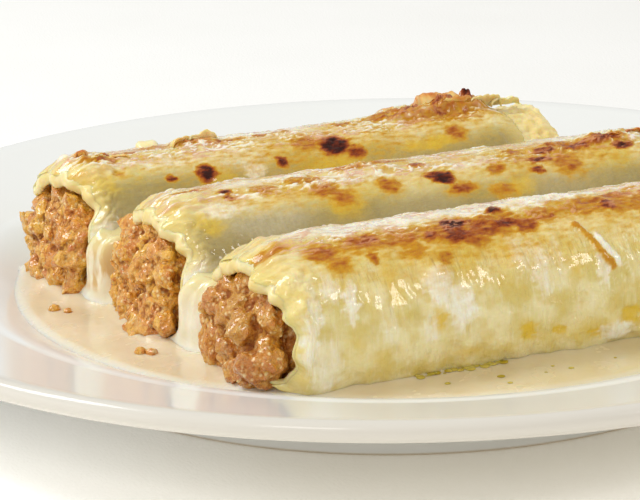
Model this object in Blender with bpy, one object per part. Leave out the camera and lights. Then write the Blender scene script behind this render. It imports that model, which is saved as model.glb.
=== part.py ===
"""Three filled cannelloni under a gratinated topping, in a pool of cream sauce on their dinner plate.

Metres, +Z up.  The origin is under the middle of the plate, on the surface that its foot ring stands
on, and +X runs along the rolls from their shown cut ends to their far ends.
"""
import math

import bmesh
import bpy
from mathutils import Matrix, Vector, noise

MM = 0.001
GAP = 0.3 * MM                      # clearance that touching pieces keep

# Plate: a porcelain dinner plate with a wide rim and a shallow well.
PLATE_RADIUS = 135 * MM
PLATE_HEIGHT = 25 * MM              # table to the top of the lip
LIP_RADIUS = 2.2 * MM               # half the thickness of the rounded edge
CREST_RADIUS = 103 * MM             # where the rim turns down into the well
CREST_HEIGHT = 17.5 * MM
FLOOR_RADIUS = 78 * MM
FLOOR_HEIGHT = 8.5 * MM
FLOOR_THICKNESS = 5 * MM
FOOT_OUTER = 87 * MM
FOOT_INNER = 81.5 * MM
WELL_STEPS = 5
LIP_STEPS = 4
TURN_STEPS = 60

# Cream sauce: it fills the well up to one level.
SAUCE_LEVEL = 13.7 * MM
SHORE_THICKNESS = 0.5 * MM          # its outer edge is rounded off over the shore's width
SHORE_WIDTH = 4 * MM

# Rolls: a soft oval section, flattened where it lies on the plate.
ROLL_HALF_WIDTH = 19.4 * MM
ROLL_CENTRE = 24.5 * MM             # height of the widest place
ROLL_DROP = 15.5 * MM               # from there down to the underside
UNDERSIDE_SHAPE = 0.77              # below 1, the lower half is squarer than an ellipse
REST_CLEARANCE = 0.5 * MM           # underside to plate
ROLLS = {
    # name: cut end on the axis (x, y), turn about Z in degrees, length, height of the ridge
    "front": dict(end=(-59.5 * MM, -53.6 * MM), turn=-0.9, length=128 * MM, ridge=42.8 * MM),
    "middle": dict(end=(-64.5 * MM, -11.8 * MM), turn=-0.4, length=131 * MM, ridge=43.4 * MM),
    "back": dict(end=(-71.0 * MM, 29.8 * MM), turn=1.3, length=127 * MM, ridge=42.7 * MM),
}

# Layers of a roll, as depths below the outside of the topping.
TOPPING_DEPTH = 1.6 * MM
TOPPING_THINNING = 0.65             # share of the topping that is missing under the roll
LAYER_GAP = 0.45 * MM
PASTA_DEPTH = TOPPING_DEPTH + LAYER_GAP
PASTA_THICKNESS = 2.3 * MM
FILLING_DEPTH = PASTA_DEPTH + PASTA_THICKNESS + LAYER_GAP
END_BULGE = 10.0 * MM               # how far the filling swells out of the shown cut ends
FAR_BULGE = 3.0 * MM
FAR_RECESS = 5.0 * MM               # at the far ends the filling stops inside the pasta
LUMPINESS = 1.2 * MM                # unevenness of the bulging ends
END_SLOPE = 2.5 * MM                # the foot of a cut end stands further out than its head
EDGE_WAVE = 1.8 * MM                # depth of the scallops along a pasta edge
END_DROOP = 1.6 * MM                # how far the ridge sinks at a cut end
DROOP_REACH = 6 * MM

TOPPING_START = 3.5 * MM            # bare pasta collar at the shown end
TOPPING_SIDE = math.radians(138)    # how far the topping runs down each side
TOPPING_RELIEF = 0.9 * MM
BARE_TAIL = {"front": 3 * MM, "middle": 3 * MM, "back": 10 * MM}
# Crisp standing crests of the topping: place along the roll, angle from the ridge, half length
# along the roll, half width in angle, height.
CRESTS = {
    "front": [(66 * MM, 6, 14 * MM, 14, 1.2 * MM), (96 * MM, 4, 9 * MM, 12, 1.0 * MM)],
    "middle": [(114 * MM, 4, 10 * MM, 14, 1.4 * MM), (50 * MM, 4, 10 * MM, 12, 1.0 * MM)],
    "back": [(107 * MM, -2, 10 * MM, 15, 5.6 * MM), (92 * MM, -4, 12 * MM, 15, 3.2 * MM),
             (33 * MM, -6, 7 * MM, 14, 1.6 * MM)],
}

# Cream that fills the valleys between the rolls and runs down between their cut ends.
VALLEY_LEVEL = 31.0 * MM
VALLEY_LEVELS = 4                   # rows of faces up its sides
VALLEY_SINK = 0.9 * MM              # its middle lies lower than its edges
VALLEY_GAP = 0.45 * MM
VALLEY_RUN = 118 * MM
TONGUE_REACH = 4 * MM               # how far it runs out before the cut ends
TONGUE_RISE = 4.5 * MM              # over which it rises from the pool
CUTTER_MARGIN = 0.45 * MM

AROUND = 20                         # columns round a roll
DOME_TILTS = (14, 34, 60, 90)       # rings of a domed end, in degrees from its pole
DOME_REACH = 0.7                    # powers that make the dome fuller than half a ball
DOME_FULLNESS = 0.42
TOPPING_AROUND = 16
TOPPING_ROWS = 10


def material(name, colour, roughness):
    made = bpy.data.materials.new(name)
    made.use_nodes = True
    shader = made.node_tree.nodes["Principled BSDF"]
    shader.inputs["Base Color"].default_value = (*colour, 1)
    shader.inputs["Roughness"].default_value = roughness
    shader.inputs["Metallic"].default_value = 0
    made.diffuse_color = (*colour, 1)
    return made


def add_object(name, mesh_data, finish):
    """Turn a bmesh into a named, smooth-shaded object."""
    bmesh.ops.recalc_face_normals(mesh_data, faces=mesh_data.faces)
    mesh = bpy.data.meshes.new(name)
    mesh_data.to_mesh(mesh)
    mesh_data.free()
    mesh.shade_smooth()
    mesh.set_sharp_from_angle(angle=math.radians(50))
    mesh.materials.append(finish)
    made = bpy.data.objects.new(name, mesh)
    bpy.context.scene.collection.objects.link(made)
    return made


def smoothstep(t):
    t = min(max(t, 0), 1)
    return t * t * (3 - 2 * t)


# ---------------------------------------------------------------------------------------- plate

def well_height(radius):
    """Height of the plate's upper surface at a radius: floor, wall, crest, then the rising rim."""
    if radius < CREST_RADIUS:
        wall = (radius - FLOOR_RADIUS) / (CREST_RADIUS - FLOOR_RADIUS)
        return FLOOR_HEIGHT + (CREST_HEIGHT - FLOOR_HEIGHT) * smoothstep(wall)
    rim = (radius - CREST_RADIUS) / (PLATE_RADIUS - LIP_RADIUS - CREST_RADIUS)
    return CREST_HEIGHT + (PLATE_HEIGHT - CREST_HEIGHT) * min(rim, 1)


def turned(name, profile, finish):
    """Turn an open profile, which runs from the axis out and back, into a closed round body."""
    shape = bmesh.new()
    points = [shape.verts.new((radius, 0, height)) for radius, height in profile]
    for start, end in zip(points, points[1:]):
        shape.edges.new((start, end))
    mesh = bpy.data.meshes.new(name)
    shape.to_mesh(mesh)
    shape.free()
    mesh.materials.append(finish)
    made = bpy.data.objects.new(name, mesh)
    bpy.context.scene.collection.objects.link(made)
    screw = made.modifiers.new("turn", "SCREW")
    screw.axis = "Z"
    screw.steps = screw.render_steps = TURN_STEPS
    screw.use_merge_vertices = True
    screw.merge_threshold = 1e-6
    screw.use_smooth_shade = True
    return made


def plate_profile():
    upper = [(0, FLOOR_HEIGHT)]
    for step in range(WELL_STEPS + 1):
        radius = FLOOR_RADIUS + (CREST_RADIUS - FLOOR_RADIUS) * step / WELL_STEPS
        upper.append((radius, well_height(radius)))
    lip_centre = (PLATE_RADIUS - LIP_RADIUS, PLATE_HEIGHT - LIP_RADIUS)
    lip = []
    for step in range(LIP_STEPS + 1):
        angle = math.radians(90 - 180 * step / LIP_STEPS)
        lip.append((lip_centre[0] + LIP_RADIUS * math.cos(angle), lip_centre[1] + LIP_RADIUS * math.sin(angle)))
    under = [
        (CREST_RADIUS + 1 * MM, CREST_HEIGHT - FLOOR_THICKNESS),
        (FOOT_OUTER + 2 * MM, FLOOR_HEIGHT - FLOOR_THICKNESS + 2 * MM),
        (FOOT_OUTER, 0.6 * MM),
        (FOOT_OUTER - 0.6 * MM, 0),
        (FOOT_INNER + 0.6 * MM, 0),
        (FOOT_INNER, 0.6 * MM),
        (FOOT_INNER - 2.5 * MM, FLOOR_HEIGHT - FLOOR_THICKNESS),
        (0, FLOOR_HEIGHT - FLOOR_THICKNESS),
    ]
    return upper + lip + under


# ---------------------------------------------------------------------------------------- rolls

def half_width_at(height, roll):
    """Half the width of a roll at a height, from its oval section."""
    if height > ROLL_CENTRE:
        share = min((height - ROLL_CENTRE) / (roll["ridge"] - ROLL_CENTRE), 1)
        return ROLL_HALF_WIDTH * math.sqrt(1 - share * share)
    share = min((ROLL_CENTRE - height) / ROLL_DROP, 1)
    return ROLL_HALF_WIDTH * (1 - share ** (2 / UNDERSIDE_SHAPE)) ** (UNDERSIDE_SHAPE / 2)


def drop_at(roll, along):
    """How far the underside reaches below the widest place: less where the wall of the well lifts it."""
    turn = math.radians(roll["turn"])
    drop = ROLL_DROP
    for degrees in range(100, 270, 10):
        angle = math.radians(degrees)
        lateral = ROLL_HALF_WIDTH * math.copysign(abs(math.sin(angle)) ** UNDERSIDE_SHAPE, math.sin(angle))
        x = roll["end"][0] + along * math.cos(turn) + lateral * math.sin(turn)
        y = roll["end"][1] + along * math.sin(turn) - lateral * math.cos(turn)
        room = ROLL_CENTRE - REST_CLEARANCE - well_height(math.hypot(x, y))
        drop = min(drop, room / abs(math.cos(angle)) ** UNDERSIDE_SHAPE)
    return drop


def roll_point(roll, along, angle, depth, scale=1.0, drop=None):
    """A point of a roll: angle 0 is the ridge, and positive angles turn towards -Y.

    depth is measured inwards from the outside of the topping, and scale shrinks the section for
    the domed ends.  The underside rests on the plate unless its drop is given.
    """
    across = math.sin(angle)
    upward = math.cos(angle)
    ends = min(along, roll["length"] - along)
    droop = END_DROOP * math.exp(-max(ends, 0) / DROOP_REACH)
    if upward >= 0:
        lateral = (ROLL_HALF_WIDTH - depth) * across
        height = (roll["ridge"] - ROLL_CENTRE - droop - depth) * upward
    else:
        drop = drop or drop_at(roll, along)
        depth -= TOPPING_THINNING * min(max(depth, 0), TOPPING_DEPTH) * smoothstep(-upward)
        lateral = (ROLL_HALF_WIDTH - depth) * math.copysign(abs(across) ** UNDERSIDE_SHAPE, across)
        height = -(drop - depth) * abs(upward) ** UNDERSIDE_SHAPE
    turn = math.radians(roll["turn"])
    lateral *= scale
    return Vector((
        roll["end"][0] + along * math.cos(turn) + lateral * math.sin(turn),
        roll["end"][1] + along * math.sin(turn) - lateral * math.cos(turn),
        ROLL_CENTRE + height * scale,
    ))


def add_ring(shape, points):
    return [shape.verts.new(point) for point in points]


def join_rings(shape, rings, closed=True):
    """Bridge a list of equal rings with quads."""
    count = len(rings[0])
    for lower, upper in zip(rings, rings[1:]):
        for column in range(count if closed else count - 1):
            after = (column + 1) % count
            shape.faces.new((lower[column], lower[after], upper[after], upper[column]))


def close_with_apex(shape, ring, apex, flip):
    tip = shape.verts.new(apex)
    for column, vertex in enumerate(ring):
        after = ring[(column + 1) % len(ring)]
        shape.faces.new((vertex, tip, after) if flip else (vertex, after, tip))


def end_shift(angle):
    """The lower half of a cut end stands further out."""
    return END_SLOPE * 0.5 * (1 - math.cos(angle))


def lump(point, size, seed):
    """Smooth pseudo-random value from 0 to 1 at a place, with lumps of the given size."""
    return 0.5 + 0.5 * noise.noise(point / size + Vector((seed, 2.7 * seed, -1.3 * seed)))


def solid_rod(roll, depth, bulges, lumpiness, seed, name, finish, drop=None, recess=0):
    """A rod with full, domed ends: the filling, and with a drop of its own a tool that cuts the sauce.

    The far dome stands on a section that lies inside the roll's end by the recess.
    """
    angles = [2 * math.pi * column / AROUND for column in range(AROUND)]
    length = roll["length"]
    far_base = length - recess

    def dome(tilt, bulge, base, outward):
        """One ring of a domed end; tilt runs from the pole at 0 to the rod's full section at 90."""
        reach = bulge * math.cos(tilt) ** DOME_REACH
        scale = math.sin(tilt) ** DOME_FULLNESS
        points = []
        for angle in angles:
            slope = end_shift(angle) * scale if outward < 0 else 0
            point = roll_point(roll, base + outward * (reach + slope), angle, depth, scale, drop)
            inward = lumpiness * lump(point, 5 * MM, seed) if reach > 0.1 * bulge else 0
            points.append(point - Vector((outward * inward, 0, 0)))
        return points

    rings = [dome(math.radians(degrees), bulges[0], 0, -1) for degrees in DOME_TILTS]
    rings += [[roll_point(roll, along, angle, depth, 1, drop) for angle in angles]
              for along in (12 * MM, length / 2, length - 12 * MM)]
    rings += [dome(math.radians(degrees), bulges[1], far_base, 1) for degrees in reversed(DOME_TILTS)]
    shape = bmesh.new()
    rings = [add_ring(shape, points) for points in rings]
    join_rings(shape, rings)
    close_with_apex(shape, rings[0], roll_point(roll, -bulges[0], 0, depth, 0, drop), True)
    close_with_apex(shape, rings[-1], roll_point(roll, far_base + bulges[1], 0, depth, 0, drop), False)
    return add_object(name, shape, finish)


def pasta_tube(roll, seed, name, finish):
    """The rolled pasta sheet: a thick tube with scalloped, softly rounded edges."""
    angles = [2 * math.pi * column / AROUND for column in range(AROUND)]
    length = roll["length"]
    inner_depth = PASTA_DEPTH + PASTA_THICKNESS
    middle_depth = PASTA_DEPTH + PASTA_THICKNESS / 2

    def ring(along, depth, edge):
        points = []
        for angle in angles:
            anchor = Vector((math.cos(angle), math.sin(angle), along / length))
            wave = EDGE_WAVE * lump(anchor, 0.55, seed) * edge
            shift = end_shift(angle) if along < length / 2 else 0
            position = along + wave - shift if along < length / 2 else along - wave
            points.append(roll_point(roll, position, angle, depth))
        return points

    rounding = PASTA_THICKNESS / 3
    rows = [
        (rounding, PASTA_DEPTH, 1), (10 * MM, PASTA_DEPTH, 0), (length * 0.36, PASTA_DEPTH, 0),
        (length * 0.64, PASTA_DEPTH, 0), (length - 10 * MM, PASTA_DEPTH, 0),
        (length - rounding, PASTA_DEPTH, 1), (length, middle_depth, 1), (length - rounding, inner_depth, 1),
        (length - 12 * MM, inner_depth, 0), (length / 2, inner_depth, 0), (12 * MM, inner_depth, 0),
        (rounding, inner_depth, 1), (0, middle_depth, 1),
    ]
    shape = bmesh.new()
    rings = [add_ring(shape, ring(*row)) for row in rows]
    join_rings(shape, rings + rings[:1])
    return add_object(name, shape, finish)


def topping(name_of_roll, roll, seed, name, finish):
    """The baked sauce and cheese: a blanket over the roll, with low waves and crisp crests."""
    start = TOPPING_START
    end = roll["length"] - BARE_TAIL[name_of_roll]
    crests = CRESTS[name_of_roll]
    rows = sorted([start, start + 3 * MM, end - 3 * MM, end]
                  + [start + (end - start) * step / TOPPING_ROWS for step in range(1, TOPPING_ROWS)])
    angles = [-TOPPING_SIDE + 2 * TOPPING_SIDE * column / TOPPING_AROUND for column in range(TOPPING_AROUND + 1)]

    def waviness(along, angle):
        anchor = Vector((along / (9 * MM), angle * 2.1, 0))
        return lump(anchor, 1, seed)

    def outside(along, angle):
        wave = TOPPING_RELIEF * (waviness(along, angle) - 0.35)
        top = smoothstep((math.radians(75) - abs(angle)) / math.radians(35))
        wave = max(wave, 0) * top - max(-wave, 0)
        raised = 0
        for place, centre, half_length, half_angle, height in crests:
            reach = ((along - place) / half_length) ** 2 + ((math.degrees(angle) - centre) / half_angle) ** 2
            raised = max(raised, height * smoothstep(1.25 - reach))
        edge = min(along - start, end - along)
        side = TOPPING_SIDE - abs(angle)
        taper = 0.9 * MM * (1 - smoothstep(edge / (3 * MM))) + 0.6 * MM * (1 - smoothstep(side / 0.3))
        return min(taper, 1.1 * MM) - wave - raised

    def shifted(along, angle):
        blend = 1 - smoothstep((along - start) / (25 * MM))
        return along - end_shift(angle) * blend + 1.5 * MM * (waviness(along, angle) - 0.5) * blend

    shape = bmesh.new()
    outer = []
    inner = []
    for along in rows:
        outer.append(add_ring(shape, [
            roll_point(roll, shifted(along, angle), angle, outside(along, angle)) for angle in angles]))
        inner.append(add_ring(shape, [
            roll_point(roll, shifted(along, angle), angle, TOPPING_DEPTH) for angle in angles]))
    join_rings(shape, outer, closed=False)
    join_rings(shape, inner, closed=False)
    for first, second in ((outer[0], inner[0]), (outer[-1], inner[-1])):
        join_rings(shape, [first, second], closed=False)
    for side in (0, -1):
        for row in range(len(rows) - 1):
            shape.faces.new((outer[row][side], outer[row + 1][side], inner[row + 1][side], inner[row][side]))
    return add_object(name, shape, finish)


# ---------------------------------------------------------------------------------------- sauce

def sauce_profile():
    """The well's own profile, a gap higher, closed by the sauce's level top."""
    shore_height = SAUCE_LEVEL - SHORE_THICKNESS
    bottom = [(0, FLOOR_HEIGHT + GAP)]
    for step in range(WELL_STEPS + 1):
        radius = FLOOR_RADIUS + (CREST_RADIUS - FLOOR_RADIUS) * step / WELL_STEPS
        height = well_height(radius) + GAP
        if height > shore_height:
            before = bottom[-1]
            share = (shore_height - before[1]) / (height - before[1])
            bottom.append((before[0] + share * (radius - before[0]), shore_height))
            break
        bottom.append((radius, height))
    shore = bottom[-1][0]
    top = [(0, SAUCE_LEVEL), (shore - SHORE_WIDTH, SAUCE_LEVEL), (shore, SAUCE_LEVEL - SHORE_THICKNESS / 4)]
    return top + bottom[::-1]


def cut_from(target, tool, operation="DIFFERENCE"):
    tool.hide_render = True
    tool.display_type = "WIRE"
    cut = target.modifiers.new("cut " + tool.name, "BOOLEAN")
    cut.operation = operation
    cut.solver = "EXACT"
    cut.object = tool


def near_side_block(roll):
    """A block over the part of the well between a roll's axis and the -Y edge of the plate."""
    shape = bmesh.new()
    bmesh.ops.create_cube(shape, size=1)
    bmesh.ops.scale(shape, vec=(roll["length"], PLATE_RADIUS, PLATE_HEIGHT * 2), verts=shape.verts)
    bmesh.ops.translate(shape, vec=(roll["length"] / 2, -PLATE_RADIUS / 2, 0), verts=shape.verts)
    bmesh.ops.rotate(shape, matrix=Matrix.Rotation(math.radians(roll["turn"]), 3, "Z"), verts=shape.verts)
    bmesh.ops.translate(shape, vec=(*roll["end"], 0), verts=shape.verts)
    return add_object("near_side", shape, CREAM)


def axis_y(roll, x):
    return roll["end"][1] + (x - roll["end"][0]) * math.tan(math.radians(roll["turn"]))


def valley_cream(near_roll, far_roll, name, finish):
    """Cream between two rolls: it fills the valley and runs down between their cut ends."""
    bottom = SAUCE_LEVEL + GAP
    tip = far_roll["end"][0] - TONGUE_REACH
    ends = sorted((near_roll["end"][0], far_roll["end"][0]))
    steps = [end - END_SLOPE - VALLEY_GAP - side for end in ends for side in (0.2 * MM, -0.2 * MM)]
    stations = sorted([tip, tip + TONGUE_RISE * 0.35, tip + TONGUE_RISE * 0.7] + steps)
    stations += [ends[1] + VALLEY_RUN * share for share in (0.06, 0.3, 0.6, 0.95, 1)]
    shape = bmesh.new()
    rings = []
    for x in stations:
        rise = smoothstep(0.25 + 0.75 * (x - tip) / TONGUE_RISE) * (0.8 if x == stations[-1] else 1)
        top = bottom + (VALLEY_LEVEL - bottom) * rise
        sides = []
        for roll, away in ((near_roll, 1), (far_roll, -1)):
            beside_filling = x < roll["end"][0] - END_SLOPE - VALLEY_GAP
            inset = FILLING_DEPTH - VALLEY_GAP if beside_filling else 0
            sides.append([])
            for level in range(VALLEY_LEVELS + 1):
                height = bottom + (top - bottom) * level / VALLEY_LEVELS
                width = half_width_at(height, roll) + VALLEY_GAP - inset
                sides[-1].append((x, axis_y(roll, x) + away * width, height))
        middle = (x, (sides[0][-1][1] + sides[1][-1][1]) / 2, top - VALLEY_SINK * rise)
        rings.append(add_ring(shape, sides[0] + [middle] + sides[1][::-1]))
    join_rings(shape, rings)
    shape.faces.new(rings[0])
    shape.faces.new(rings[-1])
    return add_object(name, shape, finish)


# ---------------------------------------------------------------------------------------- build

for old in list(bpy.data.objects):
    bpy.data.objects.remove(old, do_unlink=True)

PORCELAIN = material("porcelain", (0.84, 0.85, 0.83), 0.12)
CREAM = material("cream_sauce", (0.79, 0.64, 0.40), 0.3)
MEAT = material("meat_filling", (0.50, 0.25, 0.10), 0.45)
PASTA = material("pasta", (0.80, 0.62, 0.27), 0.4)
GRATIN = material("gratinated_topping", (0.72, 0.52, 0.22), 0.4)

turned("plate", plate_profile(), PORCELAIN)
sauce = turned("sauce", sauce_profile(), CREAM)
sauce_near = turned("sauce_near", sauce_profile(), CREAM)
near_block = near_side_block(ROLLS["front"])
cut_from(sauce, near_block)
cut_from(sauce_near, near_block, "INTERSECT")
for number, (roll_name, roll) in enumerate(ROLLS.items(), start=1):
    solid_rod(roll, FILLING_DEPTH, (END_BULGE, FAR_BULGE), LUMPINESS, number, "filling_" + roll_name, MEAT,
              recess=FAR_RECESS)
    pasta_tube(roll, number, "pasta_" + roll_name, PASTA)
    topping(roll_name, roll, number, "gratin_" + roll_name, GRATIN)
    body_cutter = solid_rod(roll, -CUTTER_MARGIN, (CUTTER_MARGIN, CUTTER_MARGIN), 0, number,
                            "space_" + roll_name, CREAM, ROLL_DROP)
    end_cutter = solid_rod(roll, FILLING_DEPTH - CUTTER_MARGIN,
                           (END_BULGE + CUTTER_MARGIN, FAR_BULGE + CUTTER_MARGIN), 0, number,
                           "end_space_" + roll_name, CREAM, ROLL_DROP, FAR_RECESS)
    for pool in (sauce, sauce_near) if roll_name == "front" else (sauce,):
        cut_from(pool, body_cutter)
        cut_from(pool, end_cutter)
valley_cream(ROLLS["front"], ROLLS["middle"], "cream_front", CREAM)
valley_cream(ROLLS["middle"], ROLLS["back"], "cream_back", CREAM)
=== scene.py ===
import itertools
import math

import bmesh
import bpy
import numpy as np
from mathutils import Matrix, Vector


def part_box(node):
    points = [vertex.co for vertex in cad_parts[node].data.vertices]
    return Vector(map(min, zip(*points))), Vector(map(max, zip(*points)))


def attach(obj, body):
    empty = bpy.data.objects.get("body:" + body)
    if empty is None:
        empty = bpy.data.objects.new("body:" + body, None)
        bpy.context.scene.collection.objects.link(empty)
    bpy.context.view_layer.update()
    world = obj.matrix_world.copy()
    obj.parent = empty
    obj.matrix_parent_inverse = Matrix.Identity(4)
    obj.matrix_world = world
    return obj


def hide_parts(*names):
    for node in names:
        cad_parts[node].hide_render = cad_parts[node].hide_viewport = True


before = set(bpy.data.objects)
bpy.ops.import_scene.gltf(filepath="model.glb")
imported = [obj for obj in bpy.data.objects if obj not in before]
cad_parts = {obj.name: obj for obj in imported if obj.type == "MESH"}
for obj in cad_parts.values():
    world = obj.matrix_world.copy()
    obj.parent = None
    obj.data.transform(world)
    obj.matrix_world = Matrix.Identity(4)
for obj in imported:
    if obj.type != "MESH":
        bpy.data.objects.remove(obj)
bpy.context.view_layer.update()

scene = bpy.context.scene
MM = 0.001

# =========================================================== table, light and camera
# The plate stands on a pale tablecloth in a bright room.  A large window behind it on the left
# gives the light and a warm room fills the shadows.  None of this belongs to the part.

CAMERA_PLACE = (-0.2458, -0.4908, 0.1812)
CAMERA_TURN = -24.7                 # degrees about the upright axis
CAMERA_TILT = 16.49                 # degrees below the horizon
CAMERA_ROLL = -1.195
CAMERA_LENS = 135
CLOTH_SIZE = 8.0
# Each: name, place, size, power, tint.
LIGHTS = [
    ("window", (-0.80, 0.52, 1.20), (0.60, 0.5), 11.0, (0.90, 0.96, 1.0)),
    ("side_panel", (-1.30, 0.0, 0.35), (0.9, 0.5), 1.2, (1.0, 0.98, 0.95)),
    ("front_panel", (-0.80, -0.80, 0.95), (0.34, 0.26), 2.2, (1.0, 0.97, 0.93)),
    ("lamp", (0.50, -0.92, 0.78), (0.28, 0.22), 1.9, (1.0, 0.98, 0.95))]
ROOM_LIGHT = (1.0, 0.975, 0.93)
ROOM_STRENGTH = 0.62
PAINTED_CLOTH_GLOW = 0.32                   # painted light: the cloth itself glows under the near rim


def colour(red, green, blue):
    """A linear colour from its everyday 0 to 255 values."""
    shares = (red / 255, green / 255, blue / 255)
    return tuple(((v + 0.055) / 1.055) ** 2.4 if v > 0.04 else v / 12.92 for v in shares) + (1,)


class Signal:
    """One output of a node; arithmetic on it adds Math nodes."""

    def __init__(self, recipe, socket):
        self.recipe = recipe
        self.socket = socket

    def work(self, operation, *operands, clamp=False):
        settings = {"operation": operation, "use_clamp": clamp}
        return self.recipe.node("ShaderNodeMath", settings, dict(enumerate(operands)))

    def __add__(self, other):
        return self.work("ADD", self, other)

    def __sub__(self, other):
        return self.work("SUBTRACT", self, other)

    def __rsub__(self, other):
        return self.work("SUBTRACT", other, self)

    def __mul__(self, other):
        return self.work("MULTIPLY", self, other)

    __radd__ = __add__
    __rmul__ = __mul__

    def clamped(self):
        return self.work("ADD", self, 0, clamp=True)

    def between(self, low, high):
        """0 at low, 1 at high and smooth in between."""
        inputs = {"Value": self, "From Min": low, "From Max": high}
        return self.recipe.node("ShaderNodeMapRange", {"interpolation_type": "SMOOTHSTEP"}, inputs)

    def output(self, name):
        """Another output of the same node."""
        return Signal(self.recipe, self.socket.node.outputs[name])


class Recipe:
    """A node tree being put together."""

    def __init__(self, tree):
        self.tree = tree
        tree.nodes.clear()

    def node(self, kind, settings=None, inputs=None, output=0):
        """Add a node of any kind and give one of its outputs."""
        made = self.tree.nodes.new(kind)
        for name, value in (settings or {}).items():
            if name == "stops":
                ramp = made.color_ramp
                while len(ramp.elements) < len(value):
                    ramp.elements.new(1)
                for element, (position, tint) in zip(ramp.elements, value):
                    element.position = position
                    element.color = tint
            else:
                setattr(made, name, value)
        for name, value in (inputs or {}).items():
            if isinstance(value, Signal):
                self.tree.links.new(value.socket, made.inputs[name])
            else:
                made.inputs[name].default_value = value
        return Signal(self, made.outputs[output]) if made.outputs else None


class Finish(Recipe):
    """A material: Object coordinates in metres, noise by lump size, and one Principled shader."""

    def __init__(self, name):
        self.material = bpy.data.materials.new(name)
        self.material.use_nodes = True
        super().__init__(self.material.node_tree)
        self.place = self.node("ShaderNodeTexCoord", output="Object")

    def noise(self, size, detail=2.0, place=None, stretch=(1, 1, 1), shift=0.0):
        """Cloudy noise from 0 to 1 whose lumps have a size in millimetres."""
        spread = tuple(1 / (size * MM * share) for share in stretch)
        moved = self.node("ShaderNodeMapping", {}, {
            "Vector": place or self.place, "Scale": spread, "Location": (shift, 1.7 * shift, -shift)})
        return self.node("ShaderNodeTexNoise", {}, {"Vector": moved, "Scale": 1.0, "Detail": detail})

    def axis(self, name):
        """One coordinate of the place, in metres; its output method gives the other two."""
        return self.node("ShaderNodeSeparateXYZ", {}, {"Vector": self.place}, output=name)

    def reach(self):
        """Distance from the part's origin, in metres."""
        return self.node("ShaderNodeVectorMath", {"operation": "LENGTH"}, {0: self.place}, output="Value")

    def attribute(self, name, output="Fac"):
        """A value that the mesh carries at its points."""
        return self.node("ShaderNodeAttribute", {"attribute_name": name}, output=output)

    def mix(self, factor, first, second):
        """The first colour at a factor of 0, the second at 1."""
        settings = {"data_type": "RGBA", "blend_type": "MIX", "clamp_factor": True}
        return self.node("ShaderNodeMix", settings, {0: factor, 6: first, 7: second}, output=2)

    def bump(self, height, depth, under=None):
        """A bump whose height of 1 stands for a depth in millimetres."""
        inputs = {"Height": height, "Distance": depth * MM, "Strength": 1.0}
        if under:
            inputs["Normal"] = under
        return self.node("ShaderNodeBump", {}, inputs)

    def shade(self, inputs, soft=None):
        """End the material; soft says how much, how far per colour and how deep light scatters."""
        if soft:
            names = ("Subsurface Weight", "Subsurface Radius", "Subsurface Scale")
            inputs = {**inputs, **dict(zip(names, soft))}
        shader = self.node("ShaderNodeBsdfPrincipled", {"subsurface_method": "RANDOM_WALK"}, inputs)
        self.node("ShaderNodeOutputMaterial", {}, {"Surface": shader})
        return self.material


def cloth_finish():
    finish = Finish("tablecloth")
    weave = finish.noise(1.6, 2, stretch=(1, 0.45, 1))
    weave = weave + finish.noise(1.6, 2, stretch=(0.45, 1, 1), shift=4)
    tint = finish.mix(finish.noise(60, 2), colour(247, 246, 243), colour(252, 251, 249))
    # Painted light: the cloth glows warm in front of the plate and under its near rim, dimmer to the right
    # as a painted shadow, and not at all behind.
    y = finish.axis("Y")
    rightward = y.output("X") - 0.42 * y
    painted_glow = finish.mix(rightward.between(-0.12, -0.02), colour(255, 250, 240), colour(166, 154, 130))
    painted_glow = finish.mix(y.between(-0.12, 0.05), painted_glow, colour(0, 0, 0))
    return finish.shade({"Base Color": tint, "Roughness": 0.9, "Specular IOR Level": 0.15,
                         "Emission Color": painted_glow, "Emission Strength": PAINTED_CLOTH_GLOW,
                         "Normal": finish.bump(weave, 0.12)})


half_cloth = CLOTH_SIZE / 2
cloth_mesh = bpy.data.meshes.new("tablecloth")
corners = [(-half_cloth, -half_cloth, 0), (half_cloth, -half_cloth, 0),
           (half_cloth, half_cloth, 0), (-half_cloth, half_cloth, 0)]
cloth_mesh.from_pydata(corners, [], [(0, 1, 2, 3)])
cloth_mesh.materials.append(cloth_finish())
cloth = bpy.data.objects.new("tablecloth", cloth_mesh)
scene.collection.objects.link(cloth)

world = bpy.data.worlds.new("room")
scene.world = world
world.use_nodes = True
room = Recipe(world.node_tree)
room_glow = room.node("ShaderNodeBackground", {}, {"Color": ROOM_LIGHT + (1,), "Strength": ROOM_STRENGTH})
room.node("ShaderNodeOutputWorld", {}, {"Surface": room_glow})


def area_light(name, place, size, power, tint):
    lamp = bpy.data.lights.new(name, "AREA")
    lamp.shape = "RECTANGLE"
    lamp.size, lamp.size_y = size
    lamp.energy = power
    lamp.color = tint
    holder = bpy.data.objects.new(name, lamp)
    holder.location = place
    holder.rotation_euler = (-Vector(place)).to_track_quat("-Z", "Y").to_euler()
    scene.collection.objects.link(holder)


for light in LIGHTS:
    area_light(*light)

eye = bpy.data.cameras.new("camera")
eye.lens = CAMERA_LENS
eye.sensor_width = 36
eye.clip_start = 0.01
camera = bpy.data.objects.new("camera", eye)
scene.collection.objects.link(camera)
camera.matrix_world = (
    Matrix.Translation(CAMERA_PLACE)
    @ Matrix.Rotation(math.radians(CAMERA_TURN), 4, "Z")
    @ Matrix.Rotation(math.radians(90 - CAMERA_TILT), 4, "X")
    @ Matrix.Rotation(math.radians(CAMERA_ROLL), 4, "Z"))
scene.camera = camera
scene.view_settings.view_transform = "Standard"

# =========================================================== plate
# A round dinner plate of white glazed porcelain with a wide rim and a shallow well.  It is turned
# from one profile and stands on a foot ring whose underside was wiped free of glaze.

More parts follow.
